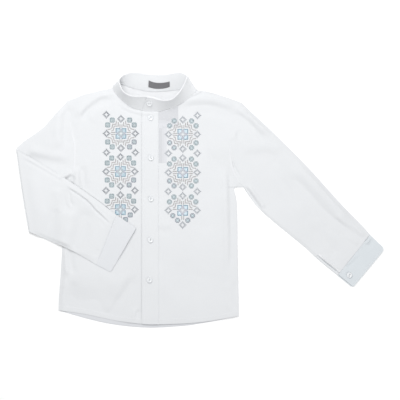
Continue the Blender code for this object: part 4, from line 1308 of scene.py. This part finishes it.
def around(radius):
    span = range(-radius, radius + 1)
    return [(column, row) for column in span for row in span]


def lozenge(middle, tone):
    """A hollow lozenge, seven stitches across."""
    return [(middle[0] + a * 1.12, middle[1] + b * 1.12, tone)
            for a, b in around(3) if 2 <= abs(a) + abs(b) <= 3]


def square(middle, edge, centre, cornered):
    """A square of five stitches with rounded corners, or none."""
    cells = []
    for a, b in around(2):
        corner = abs(a) + abs(b) == 4
        if corner and not cornered:
            continue
        spread = 0.90 if corner else 1.03
        tone = edge if 2 in (abs(a), abs(b)) else PALE_TEAL if a or b else centre
        cells.append((middle[0] + a * spread, middle[1] + b * spread, tone))
    return cells


def star(ring, petal):
    """Four square petals round a lozenge that covers their inner corners."""
    cells = []
    for a, b in around(5):
        reach, inner, outer = abs(a) + abs(b), min(abs(a), abs(b)), max(abs(a), abs(b))
        if reach < 2 or outer == 5 and inner == 0:
            continue
        tone = ring if reach < 4 else STEEL if outer == 5 else LILAC
        if outer < 5 and inner > 1 and reach > 4:
            tone = petal
        cells.append((a * 0.98, b * 0.98, tone))
    return cells


def drawn(path, side, level):
    """Stitches one after another along a ray, turned into its quarter of the motif."""
    line = Line([(x * side, y * level) for x, y in path], rounded=False)
    count = max(1, round(line.length / 0.95))
    points = [line.at(step / count) for step in range(count + 1)]
    return [(point.x, point.y, SAND if number % 3 else SAGE) for number, point in enumerate(points)]


def motif(first, closing, outer):
    """The stitches of one motif. outer is the side of the lone lozenge over the first motif, and
    the wearer's right strip has full squares; the closing motif ends in a point."""
    line, ring, petal = (GREY, PALE_TEAL, AQUA) if outer < 0 else (MIST, ICE, BLUE)
    cells = star(ring, petal) + lozenge((0, 14.6), line) + lozenge((0, -14.6), line)
    for side in (1, -1):
        cells += lozenge((14.35 * side, 0), line)
        if not closing:
            cells += lozenge((14.45 * side, -MOTIF_PERIOD / 2), line)
        for level in (1, -1):
            blobs = CLOSING_BLOBS if closing and level < 0 else BLOBS
            for x, y in blobs:
                edge = TEAL if level > 0 or side * outer > 0 and not closing else SLATE
                cells += square((x * side, y * (1 if y < 0 else level)), edge,
                                PALE_TEAL if outer < 0 else BLUE, cornered=outer < 0)
            if not closing or level > 0:
                for path in CHEVRONS + RAYS:
                    cells += drawn(path, side, level)
            else:
                cells += drawn(RAYS[1], side, level)
    if first:
        cells += lozenge((14.6 * outer, 18.8), line)
    return cells


def embroidery(name, motifs, outer, tree, threads, seed):
    """A strip of cross-stitch motifs on a front."""
    chance = random.Random(seed)
    template = cross_mesh(PITCH)
    small = cross_mesh(PITCH * 0.92)
    placings = []
    for number, middle in enumerate(motifs):
        for column, row, tone in motif(number == 0, number == len(motifs) - 1, outer):
            place = Vector(middle) + Vector((column, row)) * PITCH
            point, up = lowered(tree, place)
            turn = math.radians(chance.uniform(-5, 5))
            ahead = Vector((math.cos(turn), math.sin(turn), 0))
            cell = small if tone in (SAND, SAGE) else template
            placings.append((cell, laid_matrix(point, ahead, up, chance.uniform(0.95, 1.04)), tone))
    return many(name, placings, threads)


# ------------------------------------------------------------------ buttons
def button_mesh():
    """A turned disc with a raised rim and a shallow dish, with two thread holes through it."""
    profile = [(0.0, 0.0), (0.70, 0.0), (0.86, 0.08), (0.96, 0.26), (1.0, 0.46), (0.985, 0.68),
               (0.93, 0.86), (0.85, 0.95), (0.75, 0.95), (0.66, 0.86), (0.56, 0.74), (0.46, 0.68),
               (0.0, 0.66)]
    bm = bmesh.new()
    verts = [bm.verts.new((share * BUTTON_RADIUS * MM, 0, rise * BUTTON_HEIGHT * MM))
             for share, rise in profile]
    edges = [bm.edges.new(pair) for pair in zip(verts, verts[1:])]
    bmesh.ops.spin(bm, geom=verts + edges, axis=(0, 0, 1), cent=(0, 0, 0), angle=math.tau, steps=48,
                   use_merge=True)
    bmesh.ops.remove_doubles(bm, verts=bm.verts, dist=0.000005)
    bmesh.ops.recalc_face_normals(bm, faces=bm.faces)
    disc = bpy.data.objects.new("button_disc", mesh_of("button_disc", bm))

    bm = bmesh.new()
    for side in (-1, 1):
        made = bmesh.ops.create_cone(bm, cap_ends=True, segments=20, radius1=HOLE_RADIUS * MM,
                                     radius2=HOLE_RADIUS * MM, depth=4 * BUTTON_HEIGHT * MM)
        bmesh.ops.translate(bm, verts=made["verts"], vec=(side * HOLE_OFFSET * MM, 0, 0))
    holes = bpy.data.objects.new("button_holes", mesh_of("button_holes", bm))
    for maker in (disc, holes):
        bpy.context.scene.collection.objects.link(maker)

    cut = disc.modifiers.new("thread_holes", "BOOLEAN")
    cut.operation = "DIFFERENCE"
    cut.object = holes
    graph = bpy.context.evaluated_depsgraph_get()
    mesh = bpy.data.meshes.new_from_object(disc.evaluated_get(graph))
    bpy.data.objects.remove(disc)
    bpy.data.objects.remove(holes)
    return mesh


def button(name, mesh, seat, outward, turned, pearl):
    bm = bmesh.new()
    bm.from_mesh(mesh)
    turn = outward.to_track_quat("Z", "Y").to_matrix().to_4x4()
    turn = turn @ Matrix.Rotation(math.radians(turned), 4, "Z")
    place = Matrix.Translation((seat + outward * SEAM_GAP) * MM) @ turn
    bmesh.ops.transform(bm, matrix=place, verts=bm.verts)
    finish_piece(name + "_disc", bm, [pearl], "pearl", [name], sharp=35)
    return place


def button_threads(places, thread):
    """Two strands from hole to hole over the middle of each button."""
    strand = grain_mesh("button_strand", 1.35, 0.2, 0.3, rings=6)
    placings = []
    for place in places:
        for aside in (-0.24, 0.2):
            rise = BUTTON_HEIGHT * 0.66 + 0.06
            placings.append((strand, place @ Matrix.Translation(Vector((0, aside, rise)) * MM), 0))
    return many("button_threads", placings, [thread])


def buttonhole(middle, ahead, up, template):
    """Satin stitches close together down both lips of a buttonhole, and across its two ends."""
    across = up.cross(ahead).normalized()
    placings = []
    count = round(BUTTONHOLE / 0.55)
    for side in (-1, 1):
        for number in range(count + 1):
            point = middle + ahead * (number / count - 0.5) * BUTTONHOLE + across * side * 0.95
            placings.append((template, laid_matrix(point + up * 0.12, across, up), 0))
    for end in (-1, 1):
        for number in range(5):
            point = middle + ahead * end * (BUTTONHOLE / 2 + 0.3) + across * (number - 2) * 0.42
            placings.append((template, laid_matrix(point + up * 0.2, ahead, up), 0))
    return placings


# ------------------------------------------------------------------ finishes
class Finish:
    """A material under work. A node's input is set, or linked where it is given an output."""

    def __init__(self, name, roughness, **sockets):
        self.material = bpy.data.materials.new(name)
        self.material.use_nodes = True
        self.tree = self.material.node_tree
        self.shader = self.tree.nodes["Principled BSDF"]
        self.fill(self.shader, {"Roughness": roughness})
        self.fill(self.shader, {key.replace("_", " "): value for key, value in sockets.items()})

    def fill(self, node, inputs):
        for key, value in inputs.items():
            if isinstance(value, bpy.types.NodeSocket):
                self.tree.links.new(value, node.inputs[key])
            else:
                node.inputs[key].default_value = value

    def add(self, kind, output, inputs=(), **settings):
        """The output of a new node."""
        node = self.tree.nodes.new(kind)
        for key, value in settings.items():
            setattr(node, key, value)
        self.fill(node, dict(inputs))
        return node.outputs[output]

    def coordinates(self, kind):
        return self.add("ShaderNodeTexCoord", kind)

    def mapped(self, vector, **change):
        return self.add("ShaderNodeMapping", "Vector", {"Vector": vector, **change})

    def noise(self, vector, scale, detail, distortion=0.0):
        return self.add("ShaderNodeTexNoise", "Fac", {
            "Vector": vector, "Scale": scale, "Detail": detail, "Distortion": distortion})

    def wave(self, vector, scale, distortion=0.0, bands="X"):
        return self.add("ShaderNodeTexWave", "Fac", {
            "Vector": vector, "Scale": scale, "Distortion": distortion}, bands_direction=bands)

    def maths(self, operation, first, second):
        return self.add("ShaderNodeMath", "Value", {0: first, 1: second}, operation=operation)

    def weighed(self, first, part, second, other_part):
        """The sum of two values, each times its part."""
        return self.maths("ADD", self.maths("MULTIPLY", first, part),
                          self.maths("MULTIPLY", second, other_part))

    def colours(self, value, *stops):
        """Colours the surface along a value: stops are (place, colour)."""
        node = self.tree.nodes.new("ShaderNodeValToRGB")
        elements = node.color_ramp.elements
        while len(elements) < len(stops):
            elements.new(0.5)
        for element, (place, colour) in zip(elements, stops):
            element.position = place
            element.color = (*colour, 1)
        self.fill(node, {"Fac": value})
        self.fill(self.shader, {"Base Color": node.outputs["Color"]})

    def gloss(self, value, low, high):
        """Lets the roughness follow a value."""
        self.fill(self.shader, {"Roughness": self.add("ShaderNodeMapRange", "Result", {
            "Value": value, "To Min": low, "To Max": high})})

    def relief(self, height, strength, distance):
        self.fill(self.shader, {"Normal": self.add("ShaderNodeBump", "Normal", {
            "Height": height, "Strength": strength, "Distance": distance * MM})})


def woven(name, light, dark, thread, depth, twill=False):
    """Cloth that is woven along its own UV map, with the pitch of its threads and their relief."""
    finish = Finish(name, 0.85, Sheen_Weight=0.12, Sheen_Roughness=0.5)
    cloth, here = finish.add("ShaderNodeUVMap", "UV", uv_map="cloth"), finish.coordinates("Object")
    scale = math.tau / (20 * thread * MM)
    turned = finish.mapped(cloth, Rotation=(0, 0, math.radians(45 if twill else 0)))
    weave = finish.maths("MULTIPLY", finish.wave(turned, scale), finish.wave(cloth, scale, bands="Y"))
    slubs = [finish.noise(finish.mapped(cloth, Scale=stretch), 1.0, 2.0)
             for stretch in ((1400, 70, 1), (70, 1400, 1))]
    slubs = finish.maths("MULTIPLY", finish.maths("ADD", *slubs), 0.5)
    cloudy, handled = finish.noise(here, 11.0, 3.0), finish.noise(here, 70.0, 4.0)
    finish.colours(finish.weighed(slubs, 0.5, cloudy, 0.5), (0.3, dark), (0.7, light))
    finish.gloss(handled, 0.76, 0.94)
    finish.relief(finish.weighed(weave, 0.6, slubs, 0.8), 0.5, depth)
    return finish.material


def spun(name, light, dark):
    """Thread: fine twisted plies along the strand, each stitch a little different in tone."""
    finish = Finish(name, 0.6, Sheen_Weight=0.3, Sheen_Roughness=0.4)
    strand, here = finish.coordinates("UV"), finish.coordinates("Object")
    own = finish.add("ShaderNodeVectorMath", "Vector", {0: strand}, operation="FLOOR")
    lot = finish.add("ShaderNodeTexWhiteNoise", "Value", {"Vector": own})
    finish.colours(finish.weighed(lot, 0.45, finish.noise(here, 38.0, 1.0), 0.55),
                   (0.2, dark), (0.8, light))
    plies = finish.wave(finish.mapped(strand, Rotation=(0, 0, 0.5)), 2.4, 0.6)
    finish.relief(plies, 0.5, 0.08)
    finish.gloss(plies, 0.52, 0.75)
    return finish.material


def mother_of_pearl():
    finish = Finish("button_pearl", 0.3, Coat_Weight=0.35, Coat_Roughness=0.2)
    here = finish.coordinates("Object")
    cloud = finish.noise(here, 260.0, 3.0, 1.2)
    finish.colours(cloud, (0.3, (0.69, 0.72, 0.76)), (0.5, (0.76, 0.77, 0.785)),
                   (0.7, (0.79, 0.81, 0.82)))
    finish.relief(finish.wave(here, 190.0, 5.0), 0.15, 0.04)
    finish.gloss(cloud, 0.24, 0.4)
    return finish.material


def floor_finish():
    finish = Finish("floor_paper", 0.95, Specular_IOR_Level=0.1)
    fibre = finish.noise(finish.coordinates("Object"), 500.0, 3.0)
    finish.colours(fibre, (0.3, (0.98, 0.98, 0.98)), (0.7, (0.99, 0.99, 0.99)))
    return finish.material


# ------------------------------------------------------------------ camera, light and floor
VIEW_CENTRE = Vector((104.0, -27.3, 0.0))
VIEW_WIDTH = 840.0
CAMERA_HEIGHT = 4200.0
FLOOR_DROP = 0.2


def camera_and_light():
    scene = bpy.context.scene
    lens = bpy.data.cameras.new("camera")
    lens.sensor_width = 36
    lens.lens = 36 * CAMERA_HEIGHT / VIEW_WIDTH
    lens.clip_end = 50
    camera = bpy.data.objects.new("camera", lens)
    camera.location = (VIEW_CENTRE + UP * CAMERA_HEIGHT) * MM
    scene.collection.objects.link(camera)
    scene.camera = camera

    scene.view_settings.view_transform = "Standard"
    world = bpy.data.worlds.new("studio")
    world.use_nodes = True
    background = world.node_tree.nodes["Background"]
    background.inputs["Color"].default_value = (0.985, 0.992, 1.0, 1)
    background.inputs["Strength"].default_value = 0.602
    scene.world = world

    for name, place, size, power, colour in (
            ("window_light", (-0.19, 0.65, 1.20), 1.28, 14.05, (0.985, 0.988, 0.984)),
            ("side_light", (1.3, -1.2, 1.2), 1.6, 9.0, (1.0, 1.0, 1.0))):
        light = bpy.data.lights.new(name, "AREA")
        light.shape = "DISK"
        light.size = size
        light.energy = power
        light.color = colour
        lamp = bpy.data.objects.new(name, light)
        lamp.location = place
        lamp.rotation_euler = (VIEW_CENTRE * MM - Vector(place)).to_track_quat("-Z", "Y").to_euler()
        lamp.visible_camera = False
        scene.collection.objects.link(lamp)


def floor():
    bm = bmesh.new()
    bmesh.ops.create_grid(bm, x_segments=1, y_segments=1, size=6)
    bmesh.ops.translate(bm, verts=bm.verts, vec=(0, 0, -FLOOR_DROP * MM))
    mesh = mesh_of("floor", bm)
    mesh.materials.append(floor_finish())
    plane = bpy.data.objects.new("floor", mesh)
    bpy.context.scene.collection.objects.link(plane)
    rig.stage(plane)


# ------------------------------------------------------------------ the shirt
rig.load()
model_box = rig.bounds()

BODY_EDGES = Ribbon([Line(points) for points in
                     (RIGHT_SIDE_SEAM, RIGHT_UNDERARM, LEFT_SIDE_SEAM, LEFT_UNDERARM,
                      RIGHT_SHOULDER, LEFT_SHOULDER)])
HEM_EDGE = Ribbon([Line(FRONT_HEM)])
SIDE_SEAM_RIGHT = Line(RIGHT_SIDE_SEAM)
forearm_corners = [Vector(point) for point in (FOREARM_UNDER[0], *RIGHT_CUFF_END, FOREARM_TOP[0])]
FOREARM_SIDES = [(near, (far - near).normalized())
                 for near, far in zip(forearm_corners, forearm_corners[1:] + forearm_corners[:1])]
SUPPORTS = Ribbon([SIDE_SEAM_RIGHT, Line(RIGHT_ARM_UNDER)])
TOP, FOREARM, BACK = Creases(TOP_CREASES), Creases(FOREARM_CREASES), Creases(BACK_CREASES)
SLEEVE_BACK = Creases(SLEEVE_BACK_CREASES)
CUFF_FOLDS = Creases(CUFF_CREASES)

shirting = woven("white_shirting", (0.718, 0.728, 0.743), (0.681, 0.691, 0.706), 0.7, 0.05)
# The cuffs' cloth: the wearer's left cuff gets a darker, bluer copy than the right one, painted shade.
cuff_cloth = woven("painted_shade_blue_cuff_cloth", (0.655, 0.692, 0.718), (0.62, 0.656, 0.684), 0.6, 0.05)
light_cuff_cloth = woven("lilac_white_cuff_cloth", (0.694, 0.706, 0.728), (0.658, 0.67, 0.692),
                         0.6, 0.05)
# A lighter copy of the shirting: painted light inside the neck on the back, and a painted highlight on the collar's
# turned edge and on the slit's lip.
painted_light_cloth = woven("painted_light_shirting", (0.80, 0.805, 0.82), (0.765, 0.77, 0.785), 0.6, 0.04)
# Three darker copies of the shirting: painted shade beside the placket, by the collar and on the back's hem.
painted_shade_shirting = [woven(f"painted_shade_shirting_{number}", [part * tone for part in (0.80, 0.81, 0.84)],
                        [part * tone for part in (0.75, 0.76, 0.79)], 0.7, 0.05)
                  for number, tone in enumerate((0.755, 0.80, 0.83))]
# Darker cloth in the sleeve's slit: painted shade.
painted_slit_shade_cloth = woven("slit_shade", (0.61, 0.63, 0.65), (0.56, 0.58, 0.60), 0.6, 0.05)
# Dark cloth along the left cuff's lower edge: painted shade between its layers.
painted_lap_shade_cloth = woven("cuff_lap_shade", (0.47, 0.495, 0.515), (0.42, 0.44, 0.46), 0.6, 0.05)
# Lighter than the shirting: a painted highlight on the armhole seams' ridges.
painted_light_seam_cloth = woven("painted_light_seam_ridge", (0.745, 0.752, 0.77), (0.71, 0.717, 0.735), 0.7, 0.05)
tape = woven("grey_label_tape", (0.172, 0.17, 0.178), (0.135, 0.134, 0.142), 0.4, 0.08, twill=True)
white_thread = spun("white_thread", (0.84, 0.85, 0.87), (0.77, 0.78, 0.80))
dark_thread = spun("label_thread", (0.24, 0.24, 0.25), (0.18, 0.18, 0.19))
THREADS = [spun(name + "_thread", light, dark) for name, light, dark in (
    ("grey", (0.27, 0.30, 0.33), (0.185, 0.195, 0.23)),
    ("mist", (0.42, 0.45, 0.48), (0.32, 0.34, 0.38)),
    ("teal", (0.34, 0.445, 0.47), (0.26, 0.325, 0.355)),
    ("pale_teal", (0.50, 0.60, 0.62), (0.42, 0.49, 0.52)),
    ("ice", (0.64, 0.67, 0.71), (0.54, 0.57, 0.62)),
    ("lilac", (0.58, 0.59, 0.67), (0.47, 0.49, 0.58)),
    ("slate", (0.34, 0.37, 0.43), (0.27, 0.29, 0.35)),
    ("aqua", (0.62, 0.79, 0.86), (0.51, 0.68, 0.76)),
    ("light_blue", (0.76, 0.90, 0.97), (0.66, 0.82, 0.90)),
    ("steel_blue", (0.28, 0.43, 0.53), (0.19, 0.32, 0.41)),
    ("sand", (0.52, 0.46, 0.47), (0.40, 0.36, 0.37)),
    ("sage", (0.46, 0.50, 0.46), (0.36, 0.40, 0.38)))]

camera_and_light()
floor()
back = back_panel(shirting, painted_light_cloth)
front_right, front_left = fronts(shirting)
placket = placket_piece(shirting)
sleeve_left = straight_sleeve(shirting)
sleeve_right = folded_sleeve(shirting)
cuff_left = cuff("cuff_left_band", "cuff_left", (LEFT_SLEEVE_UNDER[-1], LEFT_SLEEVE_TOP[-1]),
                 LEFT_CUFF_END, 0.0, LEFT_CUFF_CORNER, cuff_cloth)
cuff_right = cuff("cuff_right_band", "cuff_right", (FOREARM_UNDER[-1], FOREARM_TOP[-1]),
                  RIGHT_CUFF_END, CUFF_BASE, RIGHT_CUFF_CORNER, light_cuff_cloth)
collar_band = collar(shirting)
turned_edge = collar_edge(painted_light_cloth)
label_piece = label(tape)

back_tree, placket_tree = surface_tree(back), surface_tree(placket)
right_tree, left_tree = surface_tree(front_right), surface_tree(front_left)
sleeve_tree = surface_tree(sleeve_left)
cuff_left_tree, cuff_right_tree = surface_tree(cuff_left), surface_tree(cuff_right)

# Hems turned up and stitched
hem = Line(FRONT_HEM)
right_hem = hem.part(0, hem_share(hem, PLACKET_EDGE + 2))
left_hem = hem.part(hem_share(hem, PLACKET_SEAM - 2), 1)
hem_right = strip("hem_right", right_hem, hem_profile(HEM_WIDTH), right_tree, shirting)
hem_left = strip("hem_left", left_hem, hem_profile(HEM_WIDTH), left_tree, shirting)
turned_in = [(aside, rise + CLOTH) for aside, rise in hem_profile(HEM_WIDTH, 0.25)]
# The back's turned-in hem, under the fronts' hem, in darker cloth: painted shade.
hem_back = strip("hem_back", Line(BACK_HEM), turned_in, back_tree, painted_shade_shirting[2])

facing = neck_facing(painted_shade_shirting, left_tree)
# Bands beside the placket, darkest at its seam: painted shade.
closure = Line([(PLACKET_SEAM + 0.3, y) for y in CLOSURE_RUN])
closure_facing_shades = [strip(f"front_left_closure_facing_shade_{number}", closure,
                         [(-start, -0.3), (-start, 0.05), (-end, 0.05), (-end, -0.3)], left_tree,
                         painted_shade_shirting[number])
                   for number, (start, end) in enumerate(CLOSURE_FACING_SHADES)]

# The armhole seams, pressed into a soft ridge, in a lighter cloth: a painted highlight along the ridge
seam_right = strip("armhole_right_seam", Line(RIGHT_ARMHOLE).part(*RIGHT_SEAM_PART), SEAM_RIDGE,
                   right_tree, painted_light_seam_cloth, SEAM_TAPER)
seam_left = strip("armhole_left_seam", Line(LEFT_ARMHOLE).part(*LEFT_SEAM_PART), SEAM_RIDGE,
                  left_tree, painted_light_seam_cloth, SEAM_TAPER)

# The slit of the straight sleeve, bound along its upper edge, with darker cloth in the slit for painted shade and a
# lighter lip for a painted highlight
slit = Line(LEFT_SLEEVE_UNDER).part(*SLIT_PART)
binding = strip("sleeve_left_slit_binding", slit, SLIT_BINDING, sleeve_tree, shirting)
slit_shade = strip("sleeve_left_slit_shade", slit, SLIT_SHADE, sleeve_tree, painted_slit_shade_cloth)
slit_lip = strip("sleeve_left_slit_lip", slit, SLIT_LIP, sleeve_tree, painted_light_cloth)
# A dark strip along the left cuff's lower edge: painted shade.
cuff_end = Line([LEFT_SLEEVE_UNDER[-1], LEFT_CUFF_END[0]]).part(*LAP_PART)
cuff_lap = strip("cuff_left_lap_shade", cuff_end, CUFF_LAP, cuff_left_tree, painted_lap_shade_cloth)

# Topstitching
stitch = grain_mesh("stitch", STITCH / 2, STITCH_RADIUS, STITCH_RADIUS * 0.9)
fine_stitch = grain_mesh("fine_stitch", STITCH * 0.4, STITCH_RADIUS * 0.8, STITCH_RADIUS * 0.7)
satin = grain_mesh("satin_stitch", 0.75, 0.27, 0.22)
above_hem = HEM_WIDTH - 2.2


def topstitching(name, *lines):
    """One piece of all the rows of stitches on a panel."""
    placings = [placing for line in lines for placing in stitch_run(line, stitch)]
    return many(name + "_topstitching", placings, [white_thread])


right_rows = topstitching("front_right", laid_line(right_hem, right_tree, above_hem, lift=0.3))
left_rows = topstitching("front_left", laid_line(left_hem, left_tree, above_hem, lift=0.3))
placket_rows = topstitching("placket", *[laid_line(Line([(x, y) for y in PLACKET_RUN]), placket_tree)
                                         for x in PLACKET_ROWS])
slit_rows = topstitching("slit", laid_line(slit, sleeve_tree, 4.4, lift=0.7),
                         laid_line(slit, sleeve_tree, 1.9, lift=0.7))
collar_rows = topstitching("collar", *[collar_run(rise, 0.3, LAST_STATION - 0.15, inward)
                                       for inward in (COLLAR_INSIDE, -BAND_WALL / 2)
                                       for rise in (0.07, 0.92)])


def cuff_rows(name, seam, end, tree):
    start, finish = Line(seam), Line(end)
    across = [Line([blend(start.at(share), finish.at(share), depth)
                    for share in (0.03, 0.25, 0.5, 0.75, 0.97)]) for depth in (0.07, 0.9)]
    return topstitching(name, *[laid_line(line, tree) for line in across])


cuff_left_rows = cuff_rows("cuff_left", (LEFT_SLEEVE_UNDER[-1], LEFT_SLEEVE_TOP[-1]), LEFT_CUFF_END,
                           cuff_left_tree)
cuff_right_rows = cuff_rows("cuff_right", (FOREARM_UNDER[-1], FOREARM_TOP[-1]), RIGHT_CUFF_END,
                            cuff_right_tree)
label_rows = label_stitches(fine_stitch, dark_thread)

# Buttons and their holes
pearl = mother_of_pearl()
disc = button_mesh()
places, placket_holes = [], []
for number, (middle, turned) in enumerate(zip(BUTTONS, BUTTON_TURNS), start=1):
    point, up = lowered(placket_tree, middle)
    places.append(button(f"button_{number}", disc, point, UP, turned, pearl))
    placket_holes += buttonhole(point, Vector((0, 1, 0)), up, satin)
place, rise = COLLAR_BUTTON
outward = -collar_normal(place, rise)
seat = collar_point(place, rise, -BAND_WALL / 2)
places.append(button("button_collar", disc, seat + outward * COLLAR_BUTTON_CLEAR, outward,
                     COLLAR_BUTTON_TURN, pearl))
along = (collar_middle(place + 0.1, rise) - collar_middle(place - 0.1, rise)).normalized()
collar_hole = buttonhole(seat, along, outward, satin)
point, up = lowered(cuff_left_tree, CUFF_BUTTON)
places.append(button("button_cuff_left", disc, point + UP * 0.2, UP, CUFF_BUTTON_TURN, pearl))
run = (Vector(LEFT_CUFF_END[1]) - Vector(LEFT_CUFF_END[0])).normalized()
cuff_hole = buttonhole(point, Vector((*run, 0)), up, satin)
button_threads(places, white_thread)
placket_holes = many("placket_buttonholes", placket_holes, [white_thread])
collar_hole = many("collar_buttonhole", collar_hole, [white_thread])
cuff_hole = many("cuff_left_buttonhole", cuff_hole, [white_thread])

right_strip = embroidery("embroidery_right", RIGHT_MOTIFS, -1, right_tree, THREADS, seed=11)
left_strip = embroidery("embroidery_left", LEFT_MOTIFS, 1, left_tree, THREADS, seed=12)

# Each sheet of cloth: what of its cut shows, as flat size and area in metres, and what is sewn on it
Sheet = namedtuple("Sheet", "piece flat area held rests_on sewn_on")
for sheet in (
        Sheet(back, (0.3885, 0.5083), 0.1742, "laid", ["floor"], [hem_back]),
        Sheet(front_right, (0.2049, 0.4944), 0.0876, "laid", [back],
              [hem_right, right_rows, seam_right, right_strip]),
        Sheet(front_left, (0.1828, 0.4879), 0.0784, "laid", [back],
              [hem_left, left_rows, facing, *closure_facing_shades, seam_left, left_strip]),
        Sheet(placket, (0.0353, 0.4443), 0.0156, "laid", [front_left, front_right],
              [placket_rows, placket_holes]),
        Sheet(sleeve_left, (0.354, 0.345), 0.0877, "laid", ["floor"],
              [binding, slit_shade, slit_lip, slit_rows]),
        Sheet(sleeve_right, (0.362, 0.345), 0.0903, "folded", ["floor", front_right], []),
        Sheet(cuff_left, (0.22, 0.0435), 0.0093, "laid", ["floor"],
              [cuff_left_rows, cuff_hole, cuff_lap]),
        Sheet(cuff_right, (0.22, 0.0435), 0.0094, "laid", [front_right], [cuff_right_rows]),
        Sheet(collar_band, (0.42, 0.036), 0.0146, "laid", [front_left, front_right, back],
              [turned_edge, collar_rows, collar_hole]),
        Sheet(label_piece, (0.0457, 0.0196), 0.00075, "laid", [collar_band], [label_rows])):
    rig.sheet(sheet.piece, flat=sheet.flat, held=sheet.held, area=sheet.area,
             rests_on=sheet.rests_on, with_pieces=sheet.sewn_on)

with open("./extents.json", "w") as out:
    json.dump({"model": [list(corner) for corner in model_box],
               "dressed": [list(corner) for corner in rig.bounds()]}, out)
